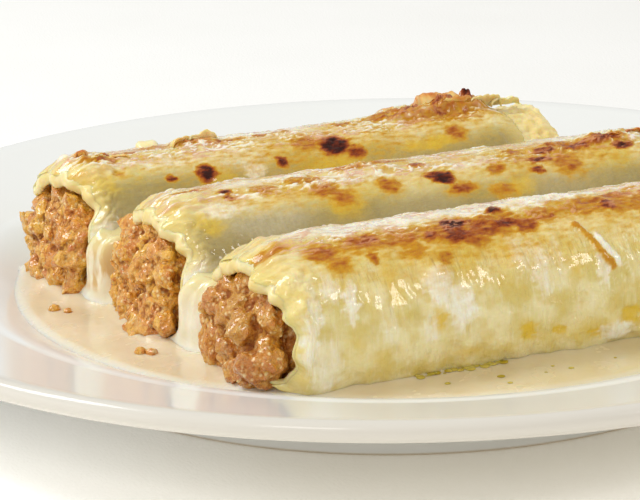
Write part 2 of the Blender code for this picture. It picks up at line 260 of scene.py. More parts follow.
PLATE_RADIUS, PLATE_HEIGHT = (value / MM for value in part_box("plate")[1].xz)
LIP_RADIUS = 2.2
CREST_RADIUS, CREST_HEIGHT = 103.0, 17.5
FLOOR_RADIUS, FLOOR_HEIGHT = 78.0, 8.5
UNDER_THICKNESS = 5.0
FOOT_OUTER, FOOT_INNER = 87.0, 81.5
FOOT_EDGE = 0.6
BEND_STEPS = 24                     # points of the curve under the rim
PLATE_SEGMENTS = 240
PLATE_PATH = 0.05                   # radius of the circle that the profile is swept round


def smoothstep(value):
    value = np.clip(value, 0, 1)
    return value * value * (3 - 2 * value)


def well_height(radius):
    """Height of the plate's upper surface: floor, wall, crest, then the rising rim."""
    wall = FLOOR_HEIGHT + (CREST_HEIGHT - FLOOR_HEIGHT) * smoothstep(
        (radius - FLOOR_RADIUS) / (CREST_RADIUS - FLOOR_RADIUS))
    rim = (radius - CREST_RADIUS) / (PLATE_RADIUS - LIP_RADIUS - CREST_RADIUS)
    outer = CREST_HEIGHT + (PLATE_HEIGHT - CREST_HEIGHT) * np.clip(rim, 0, 1)
    return np.where(radius < CREST_RADIUS, wall, outer)


def rounded(x, z, radius, first, last, step):
    """Points round a rounded edge, between two directions in degrees."""
    turns = [math.radians(degrees) for degrees in range(first, last, step)]
    return [(x + radius * math.cos(turn), z + radius * math.sin(turn)) for turn in turns]


def plate_profile():
    """Half a section of the plate, from the middle of its top out round the lip and back."""
    upper = np.concatenate([[0, 20, 40, 60, 72], np.linspace(76, 108, 33), np.linspace(111, 132.8, 8)])
    profile = [(radius, float(well_height(radius))) for radius in upper]
    profile += rounded(PLATE_RADIUS - LIP_RADIUS, PLATE_HEIGHT - LIP_RADIUS, LIP_RADIUS, 75, -91, -15)
    under = FLOOR_HEIGHT - UNDER_THICKNESS
    bend = [(PLATE_RADIUS - LIP_RADIUS - 1, PLATE_HEIGHT - 2 * LIP_RADIUS - 0.3),
            (CREST_RADIUS + 1, CREST_HEIGHT - UNDER_THICKNESS - 1.2), (FOOT_OUTER + 2, under + 2)]
    for share in np.linspace(0, 1, BEND_STEPS + 1)[1:-1]:
        weights = [(1 - share) ** 2, 2 * (1 - share) * share, share ** 2]
        profile.append(tuple(np.dot(weights, bend)))
    profile += [(FOOT_OUTER + 0.5, 3.2), (FOOT_OUTER, 1.6)]
    profile += rounded(FOOT_OUTER - FOOT_EDGE, FOOT_EDGE, FOOT_EDGE, 0, -91, -30)
    profile += rounded(FOOT_INNER + FOOT_EDGE, FOOT_EDGE, FOOT_EDGE, -90, -181, -30)
    profile += [(FOOT_INNER - 0.4, 2.2), (FOOT_INNER - 1.4, 3.2), (FOOT_INNER - 2.8, under)]
    return profile + [(radius, under) for radius in (60, 30, 0)]


class Growth(Recipe):
    """A Geometry Nodes tree with named inputs; its result is baked into a plain mesh."""

    def __init__(self, name, inputs):
        super().__init__(bpy.data.node_groups.new(name, "GeometryNodeTree"))
        self.values = {}
        sockets = self.tree.interface
        sockets.new_socket("Geometry", in_out="INPUT", socket_type="NodeSocketGeometry")
        for label, (kind, value) in inputs.items():
            socket = sockets.new_socket(label, in_out="INPUT", socket_type="NodeSocket" + kind)
            self.values[socket.identifier] = value
        sockets.new_socket("Geometry", in_out="OUTPUT", socket_type="NodeSocketGeometry")
        self.source = self.node("NodeGroupInput")

    def given(self, label):
        """One of the tree's named inputs."""
        return self.source.output(label)

    def vary(self, low, high, seed):
        """A random number, or a random vector, for each point."""
        vector = isinstance(low, tuple)
        settings = {"data_type": "FLOAT_VECTOR" if vector else "FLOAT"}
        first = 0 if vector else 2
        inputs = {first: low, first + 1: high, "Seed": seed}
        return self.node("FunctionNodeRandomValue", settings, inputs, output=0 if vector else 1)

    def scaled(self, vector, factor):
        """A vector times a number."""
        return self.node("ShaderNodeVectorMath", {"operation": "SCALE"}, {0: vector, "Scale": factor})

    def strewn(self, inputs):
        """Points over the faces of the given mesh that keep a distance to each other."""
        inputs = {"Mesh": self.given("Geometry"), **inputs}
        return self.node("GeometryNodeDistributePointsOnFaces", {"distribute_method": "POISSON"}, inputs)

    def bake(self, piece, result, finish):
        """End the tree, run it on a piece and keep what comes out as the piece's own mesh."""
        real = self.node("GeometryNodeRealizeInstances", {}, {"Geometry": result})
        painted = self.node("GeometryNodeSetMaterial", {}, {"Geometry": real, "Material": finish})
        self.node("NodeGroupOutput", {}, {"Geometry": painted})
        grown = piece.modifiers.new("growth", "NODES")
        grown.node_group = self.tree
        for identifier, value in self.values.items():
            grown[identifier] = value
        settle(piece)


def settle(piece):
    """Replace a piece's mesh by what its modifiers make of it, and remove them."""
    evaluated = piece.evaluated_get(bpy.context.evaluated_depsgraph_get())
    made = bpy.data.meshes.new_from_object(evaluated)
    piece.modifiers.clear()
    piece.data = made
    made.name = piece.name


def add_piece(name, points, faces=(), edges=(), finish=None):
    """A named, smooth object from points in millimetres."""
    mesh = bpy.data.meshes.new(name)
    mesh.from_pydata((np.asarray(points, dtype=float) * MM).tolist(), list(edges), list(faces))
    mesh.shade_smooth()
    if finish:
        mesh.materials.append(finish)
    piece = bpy.data.objects.new(name, mesh)
    scene.collection.objects.link(piece)
    return piece


def glaze_finish():
    finish = Finish("porcelain_glaze")
    height = finish.axis("Z")
    bare = 1 - height.between(0.25 * MM, 0.8 * MM)
    tint = finish.mix(finish.noise(35, 3), colour(235, 236, 233), colour(240, 241, 240))
    # Painted shade: the outer edge of the lip on the near side is tinted darker.
    painted_lip_shade = finish.reach().between(0.1308, 0.1345) * height.output("Y").between(0.0, -0.04)
    tint = finish.mix(painted_lip_shade, tint, colour(218, 213, 203))
    tint = finish.mix(bare, tint, colour(214, 203, 186))
    return finish.shade({
        "Base Color": tint, "Roughness": 0.15 + 0.5 * bare, "Specular IOR Level": 0.34,
        "Normal": finish.bump(finish.noise(14, 1), 0.03)})


profile = plate_profile()
plate = add_piece("dinner_plate", [(radius - PLATE_PATH / MM, -height, 0) for radius, height in profile],
                  edges=[(step, step + 1) for step in range(len(profile) - 1)])
turning = Growth("turned_plate", {
    "Segments": ("Int", PLATE_SEGMENTS), "Path Radius": ("Float", PLATE_PATH),
    "Seam": ("Float", 0.01 * MM)})
path = turning.node("GeometryNodeCurvePrimitiveCircle", {}, {
    "Resolution": turning.given("Segments"), "Radius": turning.given("Path Radius")})
section = turning.node("GeometryNodeMeshToCurve", {}, {"Mesh": turning.given("Geometry")})
swept = turning.node("GeometryNodeCurveToMesh", {}, {"Curve": path, "Profile Curve": section})
welded = turning.node("GeometryNodeMergeByDistance", {}, {
    "Geometry": swept, "Distance": turning.given("Seam")})
smooth = turning.node("GeometryNodeSetShadeSmooth", {}, {"Geometry": welded})
turning.bake(plate, smooth, glaze_finish())
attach(plate, "root")
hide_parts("plate")

# =========================================================== meat filling
# Cooked minced meat, bound with a little fat, fills each roll from end to end.  Coarse crumbs are
# pressed together; at both cut ends they swell out past the pasta as a rough, glistening plug.

ROLL_HALF_WIDTH = 19.4
ROLL_CENTRE = 24.5                  # height of the widest place
ROLL_DROP = 15.5                    # from there down to the underside
UNDERSIDE_SHAPE = 0.77              # below 1, the lower half is squarer than an ellipse
REST_CLEARANCE = 0.5
TOPPING_DEPTH = 1.6
TOPPING_THINNING = 0.65             # share of the topping that is missing under the roll
PASTA_DEPTH = 2.05
PASTA_THICKNESS = 2.3
FILLING_DEPTH = 4.8
END_BULGE = 10.0                    # how far the filling swells out of the shown cut ends
FAR_RECESS = 5.0                    # at the far ends it stops inside the pasta
END_SLOPE = 2.5                     # the foot of a shown end stands further out than its head
DROOP_REACH = 6.0                   # over which the ridge sinks towards an end
EDGE_WAVE_LOSS = 0.28               # the far pasta edges end this much short of the full length
# Turn in degrees, length, how far the ridge sinks at its ends, and a seed.
ROLL_SHAPES = {
    "front": (-0.9, 128.0, 1.6, 1), "middle": (-0.4, 131.0, 1.1, 2), "back": (1.3, 127.0, 0.3, 3)}
PLUG_DEPTH = 6.0                    # how far an end plug reaches back into its roll
PLUG_AROUND = 96
MEAT_VOXEL = 0.32
CRUMB_DENSITY = 4e6                 # points per square metre, thinned out by their spacing
CRUMB_STAND = 5.4                   # room that the bulge leaves for the crumbs on it
DOME_TILTS = np.radians(np.concatenate([[3, 7], np.arange(12, 91, 6)]))
DOME_REACH, DOME_FULLNESS = 0.42, 0.34      # powers that make a plug fuller than half a ball
TOP_RECESS = 0.85                   # how much less it swells out under the ridge
TOP_SINK = 1.3                      # how much lower its head lies there
FOOT_SPREAD = {"front": 2.6, "middle": 1.0, "back": 0.9}
# Crumbs: name, radius, then in radii their spacing and how deep and how high they sit.
CRUMB_SIZES = [("Large", 3.5, 1.5, -0.9, 0.1), ("Medium", 1.8, 2.0, -0.9, 0.5),
               ("Small", 0.75, 2.7, 0.1, 1.1)]
# Hollows of the shown ends: degrees from the ridge, share of the way out, radius, depth.
HOLLOWS = {
    "front": [(86, 0.86, 5.0, 4.5), (118, 0.62, 3.6, 3.0), (196, 0.55, 3.0, 2.5), (30, 0.75, 3.0, 2.0)],
    "middle": [(122, 0.92, 4.6, 5.0), (84, 0.90, 3.4, 3.0), (58, 0.55, 2.8, 2.2), (205, 0.5, 3.0, 2.0)],
    "back": [(132, 0.80, 3.6, 4.5), (112, 0.72, 3.0, 3.5), (70, 0.60, 3.0, 2.5), (-40, 0.6, 3.0, 2.0)],
}

SHUFFLE = np.random.default_rng(7).permutation(256)
SLOPES = np.random.default_rng(8).normal(size=(256, 3))
SLOPES /= np.linalg.norm(SLOPES, axis=1)[:, None]


def uneven(x, y, z, seed=0):
    """Smooth pseudo-random values from about -1 to 1, with lumps one unit across."""
    points = np.stack(np.broadcast_arrays(x, y, z), axis=-1).reshape(-1, 3)
    points = points + seed * np.array([17.3, 9.7, 5.9])
    cell = np.floor(points).astype(int)
    inside = points - cell
    fade = inside ** 3 * (inside * (inside * 6 - 15) + 10)
    total = np.zeros(len(points))
    for corner in itertools.product((0, 1), repeat=3):
        near = (cell + corner) & 255
        pick = SHUFFLE[(SHUFFLE[(SHUFFLE[near[:, 0]] + near[:, 1]) & 255] + near[:, 2]) & 255]
        weight = np.where(corner, fade, 1 - fade).prod(axis=1)
        total += weight * (SLOPES[pick] * (inside - corner)).sum(axis=1)
    return (1.7 * total).reshape(np.broadcast(x, y, z).shape)


def layered(x, y, z, seed=0, octaves=3):
    """Uneven values with finer and finer lumps on top."""
    return sum(uneven(x * 2 ** k, y * 2 ** k, z * 2 ** k, seed + k) / 2 ** k
               for k in range(octaves)) / 1.5


class Roll:
    """Where one roll lies, and its oval section, which the plate's wall lifts under its ends."""

    def __init__(self, name):
        turn, self.length, self.droop, self.seed = ROLL_SHAPES[name]
        low, high = (np.array(corner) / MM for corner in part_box("pasta_" + name))
        self.name = name
        self.turn = math.radians(turn)
        self.ridge = high[2] + PASTA_DEPTH
        self.end = np.array([high[0] + EDGE_WAVE_LOSS - self.length * math.cos(self.turn),
                             (low[1] + high[1] - self.length * math.sin(self.turn)) / 2])
        self.stations = np.linspace(-14, self.length + 8, 60)
        turns = np.radians(np.arange(100, 265, 5))[:, None]
        lateral = ROLL_HALF_WIDTH * np.sign(np.sin(turns)) * np.abs(np.sin(turns)) ** UNDERSIDE_SHAPE
        x, y = self.ground(self.stations[None, :], lateral)
        room = ROLL_CENTRE - REST_CLEARANCE - well_height(np.hypot(x, y))
        self.falls = np.minimum(ROLL_DROP, (room / np.abs(np.cos(turns)) ** UNDERSIDE_SHAPE).min(axis=0))

    def ground(self, along, lateral):
        """Where a place along the roll and out from its axis lies on the table."""
        return (self.end[0] + along * math.cos(self.turn) + lateral * math.sin(self.turn),
                self.end[1] + along * math.sin(self.turn) - lateral * math.cos(self.turn))

    def point(self, along, angle, depth, scale=1.0):
        """Points of the roll: angle 0 is the ridge and turns towards -Y, depth counts inwards."""
        along, angle, depth, scale = np.broadcast_arrays(along, angle, depth, scale)
        across, upward = np.sin(angle), np.cos(angle)
        droop = self.droop * np.exp(-np.maximum(np.minimum(along, self.length - along), 0) / DROOP_REACH)
        thinned = depth - TOPPING_THINNING * np.clip(depth, 0, TOPPING_DEPTH) * smoothstep(-upward)
        fall = np.interp(along, self.stations, self.falls)
        squared = np.sign(across) * np.abs(across) ** UNDERSIDE_SHAPE
        below = upward < 0
        lateral = np.where(below, (ROLL_HALF_WIDTH - thinned) * squared,
                           (ROLL_HALF_WIDTH - depth) * across)
        height = np.where(below, -(fall - thinned) * np.abs(upward) ** UNDERSIDE_SHAPE,
                          (self.ridge - ROLL_CENTRE - droop - depth) * upward)
        x, y = self.ground(along, lateral * scale)
        return np.stack([x, y, ROLL_CENTRE + height * scale], axis=-1)


def end_shift(angle):
    """The foot of a shown cut end stands further out than its head."""
    return END_SLOPE * 0.5 * (1 - np.cos(angle))


def strip_faces(rows, columns, wrap=False, flip=False, start=0):
    """Quads over a grid of points stored row by row."""
    faces = []
    for row in range(rows - 1):
        for column in range(columns if wrap else columns - 1):
            after = (column + 1) % columns
            quad = (row * columns + column, row * columns + after,
                    (row + 1) * columns + after, (row + 1) * columns + column)
            faces.append(tuple(start + corner for corner in (quad[::-1] if flip else quad)))
    return faces


def closed_rod(rings):
    """Points and faces of a rod from rings of points, closed by a point at each end."""
    points = [ring.mean(axis=0) for ring in (rings[0], rings[-1])] + list(np.concatenate(rings))
    around = len(rings[0])
    faces = strip_faces(len(rings), around, wrap=True, start=2)
    last = 2 + around * (len(rings) - 1)
    faces += [(0, 2 + (column + 1) % around, 2 + column) for column in range(around)]
    faces += [(1, last + column, last + (column + 1) % around) for column in range(around)]
    return np.array(points), faces


def plug(roll, outward):
    """The full, domed end of the filling; outward is -1 at the shown end and 1 at the far one."""
    angles = np.linspace(0, 2 * math.pi, PLUG_AROUND, endpoint=False)
    bulge = END_BULGE - CRUMB_STAND if outward < 0 else 0.5
    base = 0 if outward < 0 else roll.length - FAR_RECESS
    rings = []
    for tilt in DOME_TILTS:
        reach = bulge * np.cos(tilt) ** DOME_REACH if tilt < 1.57 else 0
        scale = np.sin(tilt) ** DOME_FULLNESS
        head = smoothstep((np.cos(angles) * scale - 0.25) / 0.6)
        slope = end_shift(angles) * scale if outward < 0 else 0
        stand = reach * (1 - TOP_RECESS * head) + slope
        spread = FOOT_SPREAD[roll.name] * smoothstep((0.35 - np.cos(angles)) / 0.7)
        spread = spread * float(outward < 0 and reach > 0.3)
        depth = FILLING_DEPTH + TOP_SINK * head - spread
        rings.append(roll.point(base + outward * stand, angles, depth, scale))
    head = smoothstep((np.cos(angles) - 0.25) / 0.6)
    for back in (2, 4, PLUG_DEPTH):
        rings.append(roll.point(base - outward * back, angles, FILLING_DEPTH + TOP_SINK * head))
    if outward > 0:
        rings.reverse()
    points, faces = closed_rod(rings)
    points[:, 0] += outward * 0.8 * layered(*(points / 7.5).T, seed=roll.seed)
    core = roll.point(base - outward * 5.0, 0.0, 0.0, 0.0)
    for degrees, share, radius, depth in HOLLOWS[roll.name] if outward < 0 else ():
        place = roll.point(-bulge * (1 - share ** 4), math.radians(degrees), FILLING_DEPTH, share)
        apart = np.linalg.norm((points - place) * (0.8, 1, 0.75), axis=1) / radius
        inward = core - points
        inward /= np.linalg.norm(inward, axis=1)[:, None] + 1e-6
        points += inward * (depth * np.exp(-apart ** 2))[:, None]
    return points, faces


def join(*parts):
    """Several sets of points and faces as one."""
    points, faces = [], []
    for part_points, part_faces in parts:
        start = sum(len(group) for group in points)
        points.append(np.asarray(part_points))
        faces += [tuple(start + corner for corner in face) for face in part_faces]
    return np.concatenate(points), faces


def smoothed(points, edges, rounds):
    """Points pulled towards the mean of their neighbours."""
    count = np.bincount(edges.ravel(), minlength=len(points))[:, None]
    for _ in range(rounds):
        total = np.zeros_like(points)
        for axis in range(3):
            total[:, axis] = (np.bincount(edges[:, 0], points[edges[:, 1], axis], len(points))
                              + np.bincount(edges[:, 1], points[edges[:, 0], axis], len(points)))
        points = 0.5 * points + 0.5 * total / count
    return points


def read_mesh(mesh):
    """Points in millimetres, edges and outward normals of a mesh."""
    points = np.empty(len(mesh.vertices) * 3)
    mesh.vertices.foreach_get("co", points)
    edges = np.empty(len(mesh.edges) * 2, dtype=int)
    mesh.edges.foreach_get("vertices", edges)
    normals = np.empty(len(mesh.vertices) * 3, dtype=np.float32)
    mesh.vertex_normals.foreach_get("vector", normals)
    return points.reshape(-1, 3) / MM, edges.reshape(-1, 2), normals.reshape(-1, 3).astype(float)


def write_points(mesh, points):
    mesh.vertices.foreach_set("co", (points * MM).ravel())
    mesh.update()


def store(mesh, name, values):
    """Keep a value for each point of a mesh, for its material."""
    kind, key = ("FLOAT_VECTOR", "vector") if np.ndim(values) == 2 else ("FLOAT", "value")
    mesh.attributes.new(name, kind, "POINT").data.foreach_set(key, np.ravel(values))


def meat_finish():
    finish = Finish("cooked_mince")
    crevice = finish.attribute("crevice")
    bent = finish.noise(4.0, 2).output("Color")
    warped = finish.node("ShaderNodeVectorMath", {"operation": "MULTIPLY_ADD"}, {
        0: bent, 1: (0.005, 0.005, 0.005), 2: finish.place})
    crumbs = finish.node("ShaderNodeTexVoronoi", {"feature": "SMOOTH_F1"}, {
        "Vector": warped, "Scale": 250.0, "Smoothness": 0.25}, output="Color")
    pick = finish.node("ShaderNodeSeparateColor", {}, {"Color": crumbs}, output="Red")
    tint = finish.node("ShaderNodeValToRGB", {"stops": [
        (0.0, colour(202, 104, 4)), (0.22, colour(229, 151, 24)), (0.42, colour(249, 191, 64)),
        (0.58, colour(214, 125, 8)), (0.74, colour(243, 168, 45)), (1.0, colour(255, 229, 126))]},
        {"Fac": pick * 0.6 + finish.noise(2.4, 3) * 0.4})
    pink = finish.noise(10, 1, shift=3).between(0.52, 0.68)
    tint = finish.mix(pink * 0.3, tint, colour(216, 134, 84))
    grain = finish.noise(0.5, 3)
    fine = finish.noise(0.9, 2, shift=7)
    # Pale specks on the grain: partly fat, partly a painted highlight.
    tint = finish.mix(grain.between(0.5, 0.7) * 0.4, tint, colour(252, 220, 146))
    tint = finish.mix(fine.between(0.5, 0.75) * 0.4, tint, colour(186, 88, 14))
    # Painted shade: deep crevices between the crumbs are darkened to brown.
    tint = finish.mix(crevice.between(0.1, 0.65) * 0.88, tint, colour(128, 54, 2))
    # Painted shade: the mince toward the front, at the front roll's cut end, is darker.
    tint = finish.mix(finish.axis("Y").between(-0.025, -0.055) * 0.4, tint, colour(166, 88, 8))
    # Painted highlights: tiny pale dots in clusters stand in for the glints on wet crumbs.
    painted_glint = finish.node("ShaderNodeTexVoronoi", {}, {"Vector": finish.place, "Scale": 820.0},
                       output="Distance")
    painted_glint = painted_glint.between(0.46, 0.12) * finish.noise(3.2, 2, shift=11).between(0.4, 0.56)
    tint = finish.mix(painted_glint * (1 - crevice) * 0.85, tint, colour(255, 230, 168))
    grit = finish.bump(grain, 0.5, finish.bump(fine, 0.7))
    return finish.shade({
        "Base Color": tint, "Roughness": 0.16 + 0.3 * finish.noise(1.4, 2, shift=5) + 0.5 * crevice,
        "Specular IOR Level": 0.4, "Coat Weight": (1 - crevice * 2.5).clamped() * 0.9,
        "Coat Roughness": 0.05, "Normal": grit}, soft=(0.1, (1.0, 0.5, 0.25), 0.8 * MM))


MEAT = meat_finish()


def mince(piece, seed):
    """Press crumbs of three sizes into the domed ends of a filling."""
    inputs = {crumb[0]: ("Float", crumb[1] * MM) for crumb in CRUMB_SIZES}
    growth = Growth("mince_" + piece.name, {**inputs, "Seed": ("Int", seed)})
    on_end = growth.node("GeometryNodeInputNamedAttribute", {"data_type": "FLOAT"}, {"Name": "open_end"})
    parts = [growth.given("Geometry")]
    for order, (label, _, spacing, deep, high) in enumerate(CRUMB_SIZES):
        size = growth.given(label)
        spots = growth.strewn({
            "Distance Min": size * spacing, "Density Max": CRUMB_DENSITY, "Density Factor": on_end,
            "Seed": growth.given("Seed") + 10 * order})
        pushed = growth.scaled(spots.output("Normal"), size * growth.vary(deep, high, 31 + order))
        moved = growth.node("GeometryNodeSetPosition", {}, {"Geometry": spots, "Offset": pushed})
        ball = growth.node("GeometryNodeMeshIcoSphere", {}, {"Radius": size, "Subdivisions": 3})
        wobble = growth.node("ShaderNodeTexNoise", {"noise_dimensions": "4D"}, {
            "Scale": 1.1 / (2.6 * MM * 0.56 ** order), "W": order * 3.3, "Detail": 2.0}, output="Color")
        centred = growth.node("ShaderNodeVectorMath", {"operation": "SUBTRACT"}, {
            0: wobble, 1: (0.5, 0.5, 0.5)})
        dent = growth.scaled(centred, size * 1.5)
        crumb = growth.node("GeometryNodeSetPosition", {}, {"Geometry": ball, "Offset": dent})
        turned = growth.vary((0, 0, 0), (6.3, 6.3, 6.3), 4 + order)
        sized = growth.vary((0.6, 0.6, 0.8), (1.05, 1.1, 1.7), 9 + order)
        parts.append(growth.node("GeometryNodeInstanceOnPoints", {}, {
            "Points": moved, "Instance": crumb, "Rotation": turned, "Scale": sized}))
    joined = growth.node("GeometryNodeJoinGeometry", {}, {"Geometry": parts[0]})
    for part in parts[1:]:
        growth.tree.links.new(part.socket, joined.socket.node.inputs[0])
    growth.bake(piece, joined, MEAT)


def fuse(piece):
    """Melt the crumbs of a piece into one skin, fill its pin holes and give it a fine grain."""
    remesh = piece.modifiers.new("fuse", "REMESH")
    remesh.mode = "VOXEL"
    remesh.voxel_size = MEAT_VOXEL * MM
    remesh.use_smooth_shade = True
    settle(piece)
    points, edges, normals = read_mesh(piece.data)
    points = smoothed(points, edges, 3)
    for rounds in (40, 16):
        filled = smoothed(points, edges, rounds)
        pits = smoothstep((((filled - points) * normals).sum(axis=1) - 0.05) / 0.25)
        points += 0.9 * pits[:, None] * (filled - points)
    grain = 0.2 * layered(*(points / 1.9).T, seed=5) + 0.1 * uneven(*(points / 0.8).T, 9)
    write_points(piece.data, points + normals * grain[:, None])


def crevices(piece):
    """Mark how deep each point lies between its neighbours."""
    points, edges, normals = read_mesh(piece.data)
    relief = ((points - smoothed(points, edges, 14)) * normals).sum(axis=1)
    wide = ((points - smoothed(points, edges, 60)) * normals).sum(axis=1)
    store(piece.data, "crevice", np.clip(0.12 - relief / 0.9 - wide / 0.9, 0, 1))


rolls = {name: Roll(name) for name in ROLL_SHAPES}
for name, roll in rolls.items():
    filling = add_piece("filling_" + name + "_mince", *join(plug(roll, -1), plug(roll, 1)))
    past_end = read_mesh(filling.data)[0][:, 0] - roll.end[0]
    shown = (past_end < 1.0) | (past_end > roll.length - FAR_RECESS - 1.0)
    store(filling.data, "open_end", shown.astype(float))
    mince(filling, 40 + roll.seed)
    fuse(filling)
    core_angles = np.linspace(0, 2 * math.pi, 48, endpoint=False)
    core_rings = [roll.point(along, core_angles, FILLING_DEPTH + 0.2)
                  for along in np.linspace(4, roll.length - FAR_RECESS - 4, 40)]
    core = add_piece("core", *closed_rod(core_rings), finish=MEAT)
    joining = bmesh.new()
    joining.from_mesh(filling.data)
    joining.from_mesh(core.data)
    joining.to_mesh(filling.data)
    joining.free()
    bpy.data.objects.remove(core)
    filling.data.materials.clear()
    filling.data.materials.append(MEAT)
    filling.data.shade_smooth()
    crevices(filling)
    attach(filling, "root")
    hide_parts("filling_" + name)

# =========================================================== pasta
# Each roll is a sheet of boiled egg pasta, rolled round the filling.  Its cut edges are thick,
# soft and frilled, and they sag over the meat; the rest is under the topping.

EDGE_FINE = 0.42                    # distance of the points near a cut edge
PASTA_AROUND = 288
LOBE_BLUR = (-4.2, -2.8, -1.4, 0, 1.4, 2.8, 4.2)    # degrees over which the listed lobes are rounded
# How far the shown cut edge hangs out at an angle from the ridge: its lobes and notches.
EDGE_LOBES = {
    "front": [(-66, 3.2), (-54, 4.2), (-42, 3.4), (-28, 4.6), (-14, 3.2), (0, 3.4), (10, 1.6), (18, 2.8),
        (24, 4.4), (30, 4.2), (35, 1.9), (40, 0.9), (46, 2.2), (51, 0.7), (57, -1.4), (65, 0.1), (73, -2.0),
        (81, -3.3), (90, -2.7), (96, -2.1), (107, -3.8), (117, -2.4), (131, -1.8)],
    "middle": [(-66, 1.2), (-54, 2.6), (-42, 2.0), (-28, 3.6), (-14, 2.4), (-2, 4.0), (10, 2.6), (15, 3.6),
        (21, 2.2), (27, 3.0), (33, 3.0), (37, 0.2), (42, 0.0), (48, 0.8), (58, -1.8), (64, -0.5), (79, 0.9),
        (88, 0.4), (100, -1.0), (116, -1.8), (131, -1.6)],
    "back": [(-66, 2.6), (-54, 4.4), (-42, 3.8), (-28, 5.2), (-14, 3.4), (-2, 4.8), (10, 2.8), (20, 3.0),
        (25, 1.6), (29, -0.6), (34, 0.4), (38, 0.4), (45, -0.6), (52, -2.2), (58, -1.0), (66, 0.6),
        (80, 1.0), (96, 0.0), (116, -1.2), (131, -1.4)],
}


def edge_frill(roll, angles, near_end):
    """How far a cut edge of the pasta stands out at each angle, in lobes of 4 to 8 mm."""
    seed = roll.seed * 5 + (0 if near_end else 2)
    x, y = np.cos(angles), np.sin(angles)
    frill = 1.1 * uneven(x * 3.2, y * 3.2, seed) + 0.5 * uneven(x * 7, y * 7, seed + 0.5)
    if near_end:
        degrees, reach = np.array(EDGE_LOBES[roll.name]).T
        turned = np.degrees((angles + math.pi) % (2 * math.pi) - math.pi)
        listed = np.mean([np.interp(turned + shift, degrees, reach) for shift in LOBE_BLUR], axis=0)
        known = smoothstep((turned + 66) / 10) * smoothstep((137 - turned) / 10)
        frill = frill + known * (listed - frill) + 0.12 * uneven(x * 14, y * 14, seed)
    return frill


def pasta_mesh(roll):
    angles = np.linspace(0, 2 * math.pi, PASTA_AROUND, endpoint=False)
    half = PASTA_THICKNESS / 2
    fine = np.arange(half, 9, EDGE_FINE)
    coarse = np.array([10, 12, 15, 20, 28, 40])
    outside = np.concatenate([fine, coarse, [roll.length / 2], roll.length - coarse[::-1],
                              roll.length - fine[::-1]])
    turns = np.radians(np.arange(-75, 76, 15))
    stations = [(along, 1.0) for along in outside]
    stations += [(roll.length - half + half * math.cos(turn), -math.sin(turn)) for turn in turns]
    inside = np.concatenate([np.arange(half, 6, 0.8), [8, 12, 20, roll.length / 2]])
    inside = np.concatenate([inside, roll.length - inside[:-1][::-1]])
    stations += [(along, -1.0) for along in inside[::-1]]
    stations += [(half - half * math.cos(turn), math.sin(turn)) for turn in turns]
    x, y = np.cos(angles), np.sin(angles)
    top = smoothstep((math.radians(75) - np.abs((angles + math.pi) % (2 * math.pi) - math.pi)) / 0.5)
    rings = []
    for along, side in stations:
        edge = min(along, roll.length - along)
        near_end = along < roll.length / 2
        seed = roll.seed * 5 + (0 if near_end else 2)
        frill = edge_frill(roll, angles, near_end)
        fade = float(1 - smoothstep((edge - 1) / 6))
        lip = float(1 - smoothstep((edge - 0.5) / 3))
        thin = 0.0 if near_end else 0.5
        swell = 0.3 * uneven(x * 4.5, y * 4.5, seed + 3 + along / 5) + 0.4 * top
        swell = 1 + fade * (swell - thin - 0.45 * (1 - top))
        flare = fade * (0.4 * uneven(x * 3, y * 3, seed + 7) + 0.35 * top)
        flare = flare - 0.35 * lip * np.maximum(frill, 0) * top
        if near_end:
            flare = flare + (fade - 0.6 * lip) * 0.35 * np.clip(frill - 1.4, -1.5, 2) * top
        lumps = (0.3 + 0.6 * top) * layered(x * 9, y * 9, along / 2.0 + seed)
        lumps = lumps * float(1 - smoothstep((edge - 5) / 12))
        depth = PASTA_DEPTH + half - side * half * swell - flare - lumps
        if near_end:
            place = along - fade * (frill + end_shift(angles))
        else:
            place = along + fade * frill
        rings.append(roll.point(place, angles, depth))
    total = len(rings) * PASTA_AROUND
    faces = [tuple(corner % total for corner in face)
             for face in strip_faces(len(rings) + 1, PASTA_AROUND, wrap=True)]
    return np.concatenate(rings), faces


def pasta_finish():
    finish = Finish("egg_pasta")
    mottled = finish.noise(5, 3)
    tint = finish.mix(mottled.between(0.3, 0.7), colour(236, 212, 138), colour(242, 226, 172))
    tint = finish.mix(finish.noise(2.2, 2, shift=3).between(0.55, 0.8) * 0.5, tint, colour(226, 190, 92))
    return finish.shade({
        "Base Color": tint, "Roughness": 0.26 + 0.2 * finish.noise(2, 2, shift=6), "Coat Weight": 0.25,
        "Coat Roughness": 0.15, "Normal": finish.bump(finish.noise(0.9, 3, shift=1), 0.12)},
        soft=(0.7, (1.0, 0.7, 0.25), 2.0 * MM))


PASTA = pasta_finish()
for name, roll in rolls.items():
    tube = add_piece("pasta_sheet_" + name, *pasta_mesh(roll), finish=PASTA)
    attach(tube, "root")
    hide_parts("pasta_" + name)

# =========================================================== cream sauce in the well
# A pool of thick cream sauce lies level in the well of the plate.  It climbs a little where it
# meets the rolls and thins out to a soft shore on the glaze.

SAUCE_LEVEL = 13.7
SHORE_RADIUS = 91.4
POOL_RINGS = 120
POOL_AROUND = 300


def pool_level(x, y):
    """Height of the sauce at a place: level, with faint ripples, and drawn up at the rolls."""
    rise = 0.0
    for roll in rolls.values():
        dx, dy = x - roll.end[0], y - roll.end[1]
        along = dx * math.cos(roll.turn) + dy * math.sin(roll.turn)
        lateral = np.abs(dx * math.sin(roll.turn) - dy * math.cos(roll.turn))
        outside = np.hypot(np.maximum(np.abs(along - roll.length / 2 + 2.0) - roll.length / 2 - 5.5, 0),
                           np.maximum(lateral - 16.0, 0))
        rise = np.maximum(rise, 1.1 * np.exp(-outside / 1.6))
    return SAUCE_LEVEL + rise + 0.13 * layered(x / 14, y / 14, 1.0) + 0.03 * uneven(x / 4, y / 4, 2.0)


